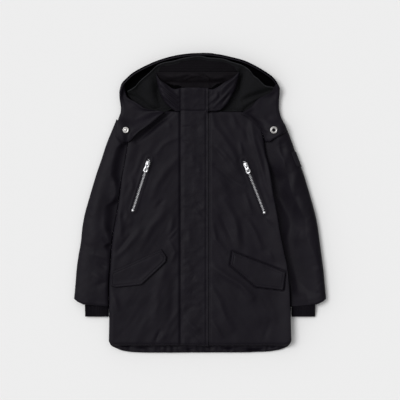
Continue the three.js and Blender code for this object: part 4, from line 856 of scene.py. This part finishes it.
def sleeve_under(side):
    shape = sleeve_shape(side)
    us = stations(85, 4, edge=(0, 1, 2.2, 4, 6.5, 9.5))
    x, y = sleeve_grid(side, shape, us, stations(390, 6, edge=(0, 1, 2.5, 5)))
    edge = np.minimum(np.abs(x - shape["outer"](y)), np.abs(x - shape["inner"](y)))
    sink = sleeve_sink(x, y, side, shape)
    low = (BACK_LOFT - 2 * EDGE_CLOTH) * (1 - round_rise(edge, 12)) ** 1.2 * np.maximum(0, 1 - sink / 7)
    top = SEAM_HEIGHT - cuff_room(x, y) - sink
    return slab(f"sleeve_{side}_back", x, y, low, top, SHELL, f"sleeve_{side}_under", EDGE_CLOTH)


def sleeve_top(x, y, side, shape):
    away_out = np.abs(x - shape["outer"](y))
    away_in = np.abs(x - shape["inner"](y))
    hem_away = y - shape["hem"](x)
    fall = body_fall(y)
    in_rise = turned_edge(away_in, 9, 0.5 * fall if side == "left" else fall)
    if side == "right":
        span = mix(38, 62, ease((-40 - y) / 90))
        ramp = np.clip((away_in - SLEEVE_HOLLOW(y) + 6) / span, 0, 1)
        in_rise = in_rise * (ramp * ramp * (1.7 - 0.7 * ramp))
    else:
        dip = SLEEVE_DIP(y)
        in_rise = in_rise * (1 - 0.8 * ease(dip / 12) * ease(1.15 - away_in / np.maximum(dip + 5, 1)))
    hem_rise = turned_edge(hem_away, 8, 0.4)
    top_rise = turned_edge(shape["top"](x) - y, 18, 0.7)
    folds = 1.3 * fold_height(SLEEVE_LEFT_FOLDS if side == "left" else SLEEVE_RIGHT_FOLDS, x, y)
    lean = 0.9 if side == "left" else -0.9
    along = y + lean * x
    puckers = 0.9 * noise(along, x * 0.2, 8.5, 21) * ridge(away_out, 15, 1) * ease(away_out / 3)
    soft = 1.1 * noise(x, y * 0.8, 24, 22) + 1.5 * noise(x, y, 50, 23) + 0.3 * noise(x, y, 10, 24)
    loft = SLEEVE_LOFT - EDGE_CLOTH + folds + puckers + soft
    out_rise = round_rise(away_out, 34 if side == "left" else 24)
    top = SEAM_HEIGHT + GAP / 2 + EDGE_CLOTH + loft * out_rise * in_rise * hem_rise * top_rise
    return top + groove(hem_away - 9, 1.2, 0.5)


def sleeve_front(side):
    shape = sleeve_shape(side)
    us = stations(85, 1.7, edge=(0, 0.5, 1.2, 2.1, 3.2, 4.6))
    x, y = sleeve_grid(side, shape, us, stations(390, 2.0, edge=(0, 0.6, 1.4, 2.4, 3.8)))
    sink = sleeve_sink(x, y, side, shape)
    low = SEAM_HEIGHT + cuff_room(x, y) - sink
    top = sleeve_top(x, y, side, shape) - sink
    return slab(f"sleeve_{side}_front", x, y, low, top, SHELL, f"sleeve_{side}_upper", EDGE_CLOTH)


def cuff_middle(y):
    span = SLEEVE_HEM[-1][1] - CUFF["end"]
    return SEAM_HEIGHT - CUFF["droop"] * ease((SLEEVE_HEM[-1][1] - y) / span)


def cuff(side):
    """Flattened knitted tube with raised ribs, turned in at its end."""
    sign = -1 if side == "left" else 1
    around = CUFF["ribs"] * 2 * 5
    angle = np.linspace(0, 2 * np.pi, around, endpoint=False)
    cos, sin = np.cos(angle), np.sin(angle)
    ribs = CUFF["rib_rise"] * np.cos(angle * CUFF["ribs"] * 2) * np.sqrt(np.abs(sin))
    middle, reach = (CUFF["outer"] + CUFF["inner"]) / 2, (CUFF["outer"] - CUFF["inner"]) / 2

    def ring(y, half_wide, half_thick, rise):
        x = middle + half_wide * np.sign(cos) * np.abs(cos) ** 0.75
        z = cuff_middle(y) + np.sign(sin) * (half_thick * np.abs(sin) ** 0.5 + rise)
        return np.stack([x * sign, np.full(around, y), z], -1)

    rings = []
    for y in np.linspace(CUFF["tuck"], CUFF["end"], 24):
        narrower = 0.5 * (1 - round_rise(y - CUFF["end"], 2.0))
        rings.append(ring(y, reach - narrower, CUFF["wall"] - narrower, ribs))
    for y in np.linspace(CUFF["end"], CUFF["tuck"], 6):
        rings.append(ring(y, reach - CUFF["wall"], GAP / 2 + 0.1, 0))
    faces = tube_faces(len(rings), around, closed=True)
    if side == "right":
        faces = [face[::-1] for face in faces]
    return mesh_object(f"cuff_{side}_knit", np.concatenate(rings), faces, RIB, f"cuff_{side}")


# Hood and collar

def hood_shell():
    arc = np.array(HOOD_ARC, float)
    run = run_along(arc[:, :2])
    table = np.column_stack([run / run[-1], arc])
    arc_x, arc_y, rim = (curve(table, 0, k) for k in (1, 2, 3))
    base_y = polyline(HOOD_BASE)
    u = np.linspace(0, 1, 260)
    base_x = mix(HOOD_BASE[0][0], HOOD_BASE[-1][0], u)
    reach = np.hypot(arc_x(u) - base_x, arc_y(u) - base_y(base_x))
    insets = np.array([0, 0.6, 1.2, 1.8, 2.4, 3, 3.8, 4.6, 4.9, 5.6, 6.3, 6.8, 7, 7.2, 7.4, 7.6, 12, 21])
    squeeze = np.minimum(1, reach / 30)
    rows = [np.minimum(inset * squeeze, reach * 0.8) for inset in insets]
    rows += [mix(rows[-1], reach, share) for share in (0.35, 0.7, 1)]
    inset = np.array(rows)
    t = inset / reach
    x = mix(arc_x(u), base_x, t)
    y = mix(arc_y(u), base_y(base_x), t)
    share_at = curve(RIM_SECTION, 0, 1)
    height = rim(u) * (1 + 0.03 * noise(u * 900, 0 * u, 14, 31))
    low = np.where(inset < 9, height * 0.3 * (1 - round_rise(inset, 9)), 0)
    top = np.maximum(HOOD_SHELL_CLOTH, height * share_at(inset))
    piece = slab("hood_outer", x, y, low, top, SHELL, "hood_shell", least=2)
    # Painted deep shade inside the rim and on the rim's outer wall
    second_material(piece, PAINTED_DEEP_SHADE, inset - RIM_SHINE[1])
    second_material(piece, PAINTED_DEEP_SHADE, RIM_SHINE[0] - inset)
    return piece


lining_fold = curve(LINING_SPAN, 0, 1)
lining_bottom_edge = curve(LINING_SPAN, 0, 2)
neck_lining = curve(NECK_LAYERS, 0, 1)
neck_back = curve(NECK_LAYERS, 0, 2)
neck_front = curve(NECK_LAYERS, 0, 3)


def lining_top_edge(x):
    return lining_fold(x) - LINING_DROP


def hood_lining():
    us = stations(321, 1.9, edge=(0, 0.8, 1.8, 3))
    vs = stations(110, 1.7, edge=(0, 1, 2.4), far_edge=(0, 0.3, 0.7, 1.2, 1.9, 2.8, 4, 5.4))
    u, v = np.meshgrid(us, vs)
    x = mix(LINING_SPAN[0][0], LINING_SPAN[-1][0], u)
    y = mix(lining_bottom_edge(x), lining_top_edge(x), v)
    side = mix(14, 27, ease(v))
    share = ease((np.abs(x + 5) - 78) / 24)
    edge = lining_top_edge(x) - y
    roll = ridge(edge - 2.2, 3, 2.6)
    top = mix(neck_lining(y), side, share) + roll - 3 * (1 - round_rise(edge, 2.4)) - 1.5 * ease(edge / 12)
    top = top + 0.8 * noise(x, y, 26, 41) + 0.3 * noise(x, y, 9, 42) + fold_height(LINING_FOLDS, x, y)
    for line in (293, 298, 303):
        top = top + groove(y - line, 1.1, 0.9) * (1 - share)
    tip = round_rise(np.minimum(x - LINING_SPAN[0][0], LINING_SPAN[-1][0] - x), 14)
    low = np.maximum(np.maximum(5, top - 4 - 3 * (1 - tip)), rest(x, y, spans=(2,)))
    piece = slab("hood_inside", x, y, low, top, LINING, "hood_lining", 1.6)
    # The lining's part deep inside the hood gets the darker fleece: painted shade
    inside = np.minimum.reduce([edge - 7, 88 - np.abs(x + 5) - 0.4 * (y - 284), y - 280])
    second_material(piece, LINING_PAINTED_SHADE, inside)
    # The band along the folded edge is painted lighter: a painted highlight
    second_material(piece, LINING_PAINTED_HIGHLIGHT, LIT_FOLD - edge)
    return piece


collar_front_top = curve(COLLAR_FRONT_TOP, 0, 1)
collar_wing_left = curve(COLLAR_WINGS, 0, 1)
collar_wing_right = curve(COLLAR_WINGS, 0, 2)


def collar_back():
    us = stations(180, 2.4, edge=(0, 0.8, 1.8, 3))
    vs = stations(82, 1.8, edge=(0, 1), far_edge=(0, 0.5, 1.2, 2, 3))
    x, y = between(us, vs, collar_wing_left, collar_wing_right,
                   level(COLLAR["back_bottom"]), level(COLLAR["back_top"]))
    low = np.maximum(neck_back(y) - COLLAR["cloth"] - 6 * ease((270 - y) / 12), rest(x, y, spans=(2,)))
    edge = COLLAR["back_top"] - y
    creases = 1.2 * noise(x + 0.4 * y, y, 9, 51) * ease((edge - 3) / 8)
    creases = creases + 1.5 * fold_height(COLLAR_BACK_FOLDS, x, y)
    top = low + COLLAR["cloth"] * turned_edge(edge, 5, 0.35) + creases
    top = top + groove(edge - 3.2, 1, 0.6)
    piece = slab("collar_inside", x, y, low, top, NECK_CLOTH_AND_SHADE, "collar_back", 1.6)
    # A strip painted as deep shade along the front collar's top edge, widest at its two corners
    corners = ridge(x + 56, 16, 9) + ridge(x - 36, 14, 8)
    second_material(piece, PAINTED_DEEP_SHADE, collar_front_top(x) + 1.5 + corners - y)
    return piece


def hanger_loop():
    v = np.linspace(0, 1, 40)
    cx = mix(HANGER["x1"], HANGER["x2"], v)
    cy = mix(HANGER["y1"], HANGER["y2"], v) + HANGER["rise"] * np.sin(np.pi * v)
    slope = np.stack([np.gradient(cx), np.gradient(cy)])
    slope = slope / np.hypot(*slope)
    off = (np.linspace(0, 1, 9) - 0.5) * HANGER["width"]
    x = cx[:, None] - slope[1][:, None] * off
    y = cy[:, None] + slope[0][:, None] * off
    low = rest(x, y, spans=(3,)) + 1.2 * np.sin(np.pi * v)[:, None]
    top = low + HANGER["thick"] * (0.6 + 0.4 * (1 - np.abs(off) / off.max()))
    return slab("hanger_tape", x, y, low, top, NECK_CLOTH_AND_SHADE, "hanger_loop")


def collar_front(side, below):
    fine = (0, 0.6, 1.3, 2.2, 3.4)
    us = stations(78, 1.5, edge=fine, far_edge=(0, 1.6))
    vs = stations(58, 1.5, edge=(0, 0.8, 1.8), far_edge=fine)
    outer = collar_wing_left if side == "left" else collar_wing_right
    bottom = level(COLLAR["front_bottom"])
    x, y = half_panel(side, us, vs, outer, middle_edge(side), bottom, collar_front_top)
    low = np.maximum(neck_back(y) + GAP, rest(x, y, spans=(4, 2), under=below))
    away = np.abs(x - outer(y))
    edge = collar_front_top(x) - y
    rise = np.minimum.reduce([
        turned_edge(away, 7, 0.6),
        turned_edge(edge, 5, 0.35),
        turned_edge(y - COLLAR["front_bottom"], 6, 0.2),
    ])
    lean = 0.75 if side == "left" else -0.75
    streaks = noise(y + lean * x, x * 0.12, 6.5, 61) + 0.6 * noise(y + lean * x, x * 0.2, 3.6, 62)
    top = low + (neck_front(y) - low) * rise
    folds = 1.6 * fold_height(COLLAR_LEFT_FOLDS if side == "left" else COLLAR_RIGHT_FOLDS, x, y)
    top = top + (0.5 * streaks + folds) * ease(edge / 6) * ease(away / 4) + groove(edge - 3.2, 1, 0.5)
    top = top - placket_bed(x, 2, -47)
    if side == "right":
        top = top + groove(x - FRONT_STITCH_X, 1.6, 0.8)
    return slab(f"collar_{side}", x, y, low, top, SHELL, f"collar_front_{side}", 1.8)


def placket():
    across = PLACKET["right"] - PLACKET["left"]
    us = stations(across, 1.35, edge=(0, 0.4, 0.9, 1.5, 2.4), far_edge=(0, 0.5, 1.1, 1.9))
    vs = stations(567, 1.7, edge=(0, 0.5, 1.1, 1.9, 2.7, 3.4, 4.2))
    u, v = np.meshgrid(us, vs)
    x = mix(PLACKET["left"], PLACKET["right"], u)
    y = mix(PLACKET["bottom"] + 4 * (1 - u), PLACKET["top"], v)
    low = rest(x, y, spans=(2.5, 1.5))
    seam = ease((PLACKET["right"] - x) / 9)
    free = 0.6 + 0.4 * ease((x - PLACKET["left"]) / 10)
    thick = mix(PLACKET["seam_thick"], PLACKET["thick"], seam) * free
    puckers = 0.8 * noise(x, y, 15, 71) + 0.4 * noise(x * 0.6, y, 8, 72) + 0.1 * noise(x, y, 4, 73)
    inner = ease((x - PLACKET["left"]) / 8) * ease((PLACKET["right"] - x) / 5)
    top = low + thick + (puckers + fold_height(PLACKET_FOLDS, x, y)) * inner
    top = top + groove(x - PLACKET_STITCH_X, 1.6, 0.7) + ridge(x - 16.5, 1.8, 0.3)
    top = top + groove(y - 202, 1.8, 1.6) + groove(y - PLACKET["bottom"] - 5, 1.1, 0.6)
    top = top - 0.8 * (1 - round_rise(x - PLACKET["left"], 2.2))
    return slab("placket_cloth", x, y, low, top, SHELL, "placket", 0.9)


def hood_flap(side):
    table = FLAP_LEFT if side == "left" else FLAP_RIGHT
    outer, inner = curve(table, 0, 1), curve(table, 0, 2)
    low_y, high_y = table[0][0], table[-1][0]
    us = stations(70, 1.6, edge=(0, 0.5, 1.1, 1.9, 3, 4.4))
    vs = stations(127, 1.6, edge=(0, 0.6, 1.3, 2.2, 3.4))
    u, v = np.meshgrid(us, vs)
    y = mix(low_y, high_y, v)
    x = mix(outer(y), inner(y), u)
    low = np.maximum(rest(x, y, spans=(7, 5, 3)), FLAP["base"])
    if side == "left":
        low = low + 9 * ease((u - 0.6) / 0.38) * ease((y - 134) / 12) * ease((202 - y) / 8)
        low = low + 3.5 * ease((u - 0.3) / 0.6) * ease((y - 204) / 8)
    sides = np.minimum(np.abs(x - outer(y)), np.abs(x - inner(y)))
    ends = np.minimum(y - low_y, high_y - y)
    radius = mix(FLAP["radius"], 3.5, ease((u - 0.5) / 0.3) * ease((y - 200) / 8))
    rise = np.minimum(round_rise(sides, radius), round_rise(ends, FLAP["radius"]))
    if side == "right":
        flat = ease((196 - y) / 10) * ease((y - 150) / 12)
        inside = np.abs(x - inner(y))
        rise = np.minimum(rise, mix(1, ease(inside / 34), flat))
    soft = 1.1 * noise(x, y, 30, 81) + 0.5 * noise(x, y, 12, 82)
    edge = mix(FLAP["edge"], 0.7, flat) if side == "right" else FLAP["edge"]
    top = blur(low, 2.5) + mix(edge, FLAP["loft"], rise) + soft * rise
    around = np.hypot(x - SNAPS[side], y - SNAP_Y)
    top = top - 1.4 * np.exp(-((around / 13) ** 4))
    top = top + groove(sides - 4.2, 1, 0.5)
    return slab(f"hood_flap_{side}_cloth", x, y, low, top, SHELL, f"hood_flap_{side}", 0.7)


def pocket_grid(side, us, vs):
    table = np.array(POCKET_FLAPS[side], float)
    last = len(table) - 1
    u, v = np.meshgrid(us, vs)
    tx, ty, bx, by = (np.interp(u * last, np.arange(last + 1), table[:, k]) for k in range(4))
    return mix(bx, tx, v), mix(by, ty, v)


def pocket_flap(side):
    us = stations(118, 1.7, edge=(0, 0.5, 1.2, 2.1))
    vs = stations(45, 1.3, edge=(0, 0.4, 0.9, 1.6, 2.4))
    x, y = pocket_grid(side, us, vs)
    top_edge, bottom_edge = pocket_edges(side)
    edge = path_distance(pocket_ring(side), x, y)[0]
    low = rest(x, y, spans=(5, 3))
    low = np.maximum(low, blur(low, 2))
    drop = 1 - ease(path_distance(bottom_edge, x, y)[0] / 16)
    corner_x, corner_y = top_edge[0]
    lift = 1.8 if side == "left" else 0.6
    low = low + lift * drop * ease(np.hypot(x - corner_x, y - corner_y) / 60)
    top = low + mix(POCKET_FLAP["edge"], POCKET_FLAP["thick"] + 1.2, round_rise(edge, 3.2))
    top = top + 0.35 * noise(x, y, 16, 91) * ease(edge / 6)
    top = top + groove(edge - POCKET_STITCH, 1, 0.8)
    top = top + groove(path_distance(top_edge, x, y)[0] - POCKET_TOP_STITCH, 0.7, 0.5)
    return slab(f"pocket_flap_{side}_cloth", x, y, low, top, SHELL, f"pocket_flap_{side}", 1)


def arm_patch():
    outer = curve(SLEEVE_SIDES, 0, 2)
    u, v = np.meshgrid(np.linspace(0, 1, 12), np.linspace(0, 1, 22))
    y = mix(ARM_PATCH["bottom"], ARM_PATCH["top"], v)
    x = outer(y) + ARM_PATCH["overhang"] - ARM_PATCH["across"] * (1 - u)
    low = np.maximum(rest(x, y, spans=(2,)), SEAM_HEIGHT - 1)
    edge = np.minimum.reduce([u, 1 - u, v * 3, (1 - v) * 3])
    top = low + ARM_PATCH["thick"] * (0.6 + 0.4 * ease(edge / 0.2))
    return slab("arm_patch_cloth", x, y, low, top, TAPE, "arm_patch")


# Zips, sliders, pull tabs and snaps

def on_surface(x, y):
    return ground.at(np.asarray(x, float), np.asarray(y, float))


def tooth_mesh():
    """A zip tooth: a block with chamfered edges."""
    part = bmesh.new()
    bmesh.ops.create_cube(part, size=1)
    bmesh.ops.scale(part, vec=(TOOTH["length"], TOOTH["width"], TOOTH["height"]), verts=part.verts)
    bmesh.ops.bevel(part, geom=part.edges[:], offset=TOOTH["chamfer"], segments=1, affect="EDGES")
    part.verts.ensure_lookup_table()
    points = np.array([v.co[:] for v in part.verts])
    faces = [[v.index for v in face.verts] for face in part.faces]
    part.free()
    return points, faces


def zip_closure(side):
    """Two rows of metal teeth on a woven tape."""
    x1, y1, x2, y2 = CHEST_ZIPS[side]
    length = math.hypot(x2 - x1, y2 - y1)
    dx, dy = (x2 - x1) / length, (y2 - y1) / length
    v = np.linspace(-0.02, 1.03, 70)
    off = np.linspace(-TAPE_WIDTH / 2, TAPE_WIDTH / 2, 11)
    x = x1 + dx * length * v[:, None] - dy * off
    y = y1 + dy * length * v[:, None] + dx * off
    low = rest(x, y, spans=(2,), clearance=0.05)
    tape = slab(f"zip_{side}_tape", x, y, low, low + TAPE_THICK, TAPE)
    points, faces = [], []
    base, tooth_faces = tooth_mesh()
    for k in range(int(length / TOOTH["pitch"])):
        along = (k + 0.5) * TOOTH["pitch"]
        across = TOOTH["across"] if k % 2 else -TOOTH["across"]
        cx, cy = x1 + dx * along - dy * across, y1 + dy * along + dx * across
        seat = float(on_surface(cx, cy)) + TOOTH["seat"]
        faces += [[len(points) + n for n in face] for face in tooth_faces]
        points += [(cx + dx * px - dy * py, cy + dy * px + dx * py, seat + pz) for px, py, pz in base]
    mesh_object(f"zip_{side}_teeth", points, faces, ZIP_METAL, f"zip_{side}", sharp=20)
    return tape


def bevelled(node, name, width, body="garment"):
    """A finer copy of a small hard part, with its edges rounded."""
    part = bmesh.new()
    part.from_mesh(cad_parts[node].data)
    bmesh.ops.remove_doubles(part, verts=part.verts, dist=1e-6)
    bmesh.ops.dissolve_limit(part, angle_limit=math.radians(4), verts=part.verts, edges=part.edges)
    sharp = [e for e in part.edges if len(e.link_faces) == 2 and e.calc_face_angle(0) > math.radians(25)]
    bmesh.ops.bevel(part, geom=sharp, offset=width * MM, segments=3, affect="EDGES", clamp_overlap=True)
    bmesh.ops.triangulate(part, faces=part.faces)
    mesh = bpy.data.meshes.new(name)
    part.to_mesh(mesh)
    part.free()
    return finished(mesh, ZIP_METAL, node, 40, body)


# Sections of the snaps: radius and height; the socket is a ring, and its section runs round
STUD = [(6.3, 0), (6.8, 0.2), (6.9, 0.6), (6.6, 1.1), (6, 1.5), (5.3, 1.6), (4.2, 1.3), (3.5, 1.25),
        (3.1, 1.5), (3, 2.4), (2.7, 2.9), (1.6, 3.2), (0.4, 3.25)]
SOCKET = [(3.4, 0), (7.6, 0), (8.1, 0.3), (8.2, 0.7), (7.9, 1.4), (7.2, 2.0), (6.4, 2.2), (5.6, 2.0),
          (5.1, 1.7), (4.7, 1.8), (4.2, 1.8), (3.7, 1.4), (3.45, 0.9), (3.4, 0.1)]


def snap(name, side, profile, node, ring, around=56):
    """A snap half, turned about its upright axis: solid, or a ring with a hole."""
    x, z = SNAPS[side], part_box(node)[0][2] / MM
    angle = np.linspace(0, 2 * np.pi, around, endpoint=False)
    points = [(x + r * math.cos(a), SNAP_Y + r * math.sin(a), z + h) for r, h in profile for a in angle]
    faces = tube_faces(len(profile), around, closed=ring)
    return mesh_object(name, points, faces, SNAP_METAL, node, sharp=35)


# Stitching

def stitch_places(x, y):
    """Middles and directions of the stitches along a path."""
    run = run_along(np.column_stack([x, y]))
    places = []
    for s in np.arange(STITCH["pitch"] / 2, run[-1], STITCH["pitch"]):
        (ax, cx, bx), (ay, cy, by) = (np.interp([s - 0.5, s, s + 0.5], run, line) for line in (x, y))
        size = math.hypot(bx - ax, by - ay) or 1
        places.append((cx, cy, (bx - ax) / size, (by - ay) / size))
    return places


def stitches(name, runs):
    """Short rounded threads that lie in the seam lines."""
    ring = [(-0.5, 0.25), (-0.3, 0.9), (0.3, 0.9), (0.5, 0.25)]
    around, length = STITCH["around"], STITCH["length"]
    thread = tube_faces(len(ring), around, closed=False)
    points, faces = [], []
    for cx, cy, dx, dy in (place for run in runs for place in stitch_places(*run)):
        height = float(on_surface(cx, cy))
        faces += [[len(points) + n for n in face] for face in thread]
        for along, swell in ring:
            for k in range(around):
                turn = 2 * math.pi * k / around
                side, up = STITCH["wide"] * swell * math.cos(turn), STITCH["high"] * swell * math.sin(turn)
                px, py = cx + dx * along * length - dy * side, cy + dy * along * length + dx * side
                points.append((px, py, height + up))
    return mesh_object(name, points, faces, THREAD)


def inset_path(path, inset):
    """A closed path moved inwards, for topstitching round a flap."""
    path = np.asarray(path, float)
    middle = path.mean(axis=0)
    moved = []
    for k, point in enumerate(path):
        before, after = path[k - 1], path[(k + 1) % len(path)]
        along = after - before
        normal = np.array([-along[1], along[0]]) / max(np.hypot(*along), 1e-9)
        if np.dot(middle - point, normal) < 0:
            normal = -normal
        moved.append(point + normal * inset)
    moved.append(moved[0])
    return np.array(moved)


def all_stitches():
    hem_x = np.linspace(-190, 190, 200)
    stitches("stitching_front", [
        (hem_x, front_hem(hem_x) + HEM_STITCH),
        (np.full(260, PLACKET_STITCH_X), np.linspace(-309, 248, 260)),
        (np.full(240, FRONT_STITCH_X), np.linspace(-308, 198, 240)),
    ])
    for side in ("left", "right"):
        top_edge, bottom_edge = pocket_edges(side)
        ring = inset_path(top_edge + bottom_edge, POCKET_STITCH)
        line = np.array(top_edge) - [0, POCKET_TOP_STITCH]
        stitches(f"stitching_pocket_{side}", [ring.T, line.T])


# Floor, light and camera

FLOOR_REACH = 30.0
FLOOR_DARK, FLOOR_LIGHT = (0.79,) * 3, (0.81,) * 3
# The side of the sky that is brightest, and its least and greatest strength
SKY_SIDE, SKY_STRENGTH = (-0.75, 0.45, 0.5), (0.14, 0.93)
# The compass side that the sunlight comes from, its height in degrees, strength and size in degrees
KEY_LIGHT = dict(towards=(-0.86, 0.44), elevation=58, strength=1.72, spread=28)
# The picture is 400 view units wide; the camera hangs 3 m above the middle of the cloth's height
PICTURE_SIDE, SENSOR, CAMERA_AWAY, CLOTH_MIDDLE = 400, 36, 3.0, 0.012


def paper_floor():
    material, nodes, join, shader = new_material("floor_paper")
    place = add(nodes, "ShaderNodeTexCoord")
    grain = add(nodes, "ShaderNodeTexNoise", Scale=900.0, Detail=2.0)
    join(place, "Object", grain, "Vector")
    two_tones(nodes, join, grain, shader, FLOOR_DARK, FLOOR_LIGHT)
    shader.inputs["Roughness"].default_value = 1.0
    shader.inputs["Specular IOR Level"].default_value = 0.0
    mesh = bpy.data.meshes.new("floor")
    corners = [(FLOOR_REACH * x, FLOOR_REACH * y, 0) for x, y in ((-1, -1), (1, -1), (1, 1), (-1, 1))]
    mesh.from_pydata(corners, [], [(0, 1, 2, 3)])
    mesh.materials.append(material)
    placed("floor", mesh)


def sky():
    """White light from all sides, stronger from one of them."""
    world = bpy.data.worlds.new("studio")
    bpy.context.scene.world = world
    world.use_nodes = True
    nodes, join = world.node_tree.nodes, joiner(world.node_tree)
    background = nodes["Background"]
    place = add(nodes, "ShaderNodeTexCoord")
    towards = add(nodes, "ShaderNodeVectorMath", operation="DOT_PRODUCT")
    towards.inputs[1].default_value = SKY_SIDE
    join(place, "Generated", towards, 0)
    least, most = SKY_STRENGTH
    strength = add(nodes, "ShaderNodeMapRange", From_Min=-0.6, From_Max=1.0, To_Min=least, To_Max=most)
    join(towards, "Value", strength, "Value")
    join(strength, "Result", background, "Strength")
    background.inputs["Color"].default_value = (1, 1, 1, 1)


def sun(name, towards, elevation, strength, spread):
    """A wide soft light from far away."""
    light = bpy.data.lights.new(name, "SUN")
    light.energy = strength
    light.angle = math.radians(spread)
    lamp = placed(name, light)
    flat = Vector((*towards, 0)).normalized() * math.cos(math.radians(elevation))
    source = Vector((flat.x, flat.y, math.sin(math.radians(elevation))))
    lamp.rotation_mode = "QUATERNION"
    lamp.rotation_quaternion = (-source).to_track_quat("-Z", "Y")


def camera():
    data = bpy.data.cameras.new("camera")
    data.sensor_width = SENSOR
    data.lens = SENSOR * CAMERA_AWAY / (PICTURE_SIDE * UNIT * MM)
    data.clip_start, data.clip_end = 0.1, 100
    eye = placed("camera", data)
    x, y = view_point(PICTURE_SIDE / 2, PICTURE_SIDE / 2)
    eye.location = (x * MM, y * MM, CAMERA_AWAY + CLOTH_MIDDLE)
    bpy.context.scene.camera = eye
    bpy.context.scene.view_settings.view_transform = "Standard"


def build():
    pieces = {"back": back_panel()}
    for side in ("left", "right"):
        pieces[f"under_{side}"] = sleeve_under(side)
        pieces[f"cuff_{side}"] = cuff(side)
    for side in ("left", "right"):
        pieces[f"front_{side}"] = front(side)
        pieces[f"sleeve_{side}"] = sleeve_front(side)
    pieces["hood"] = hood_shell()
    pieces["lining"] = hood_lining()
    pieces["collar_back"] = collar_back()
    pieces["hanger"] = hanger_loop()
    below = ground.z.copy()
    for side in ("left", "right"):
        pieces[f"collar_{side}"] = collar_front(side, below)
    pieces["placket"] = placket()
    for side in ("left", "right"):
        pieces[f"flap_{side}"] = hood_flap(side)
        pieces[f"pocket_{side}"] = pocket_flap(side)
        pieces[f"zip_{side}"] = zip_closure(side)
        bevelled(f"zip_stop_{side}", f"stop_{side}", 0.3)
        bevelled(f"slider_{side}", f"slider_{side}_metal", 0.35)
        bevelled(f"pull_{side}", f"pull_{side}_metal", 0.3, body=f"pull_tab_{side}")
    pieces["patch"] = arm_patch()
    snap("stud_left", "left", STUD, "snap_stud_left", ring=False)
    snap("socket_right", "right", SOCKET, "snap_socket_right", ring=True)
    all_stitches()
    return pieces


paper_floor()
sky()
sun("key_light", **KEY_LIGHT)
camera()
build()
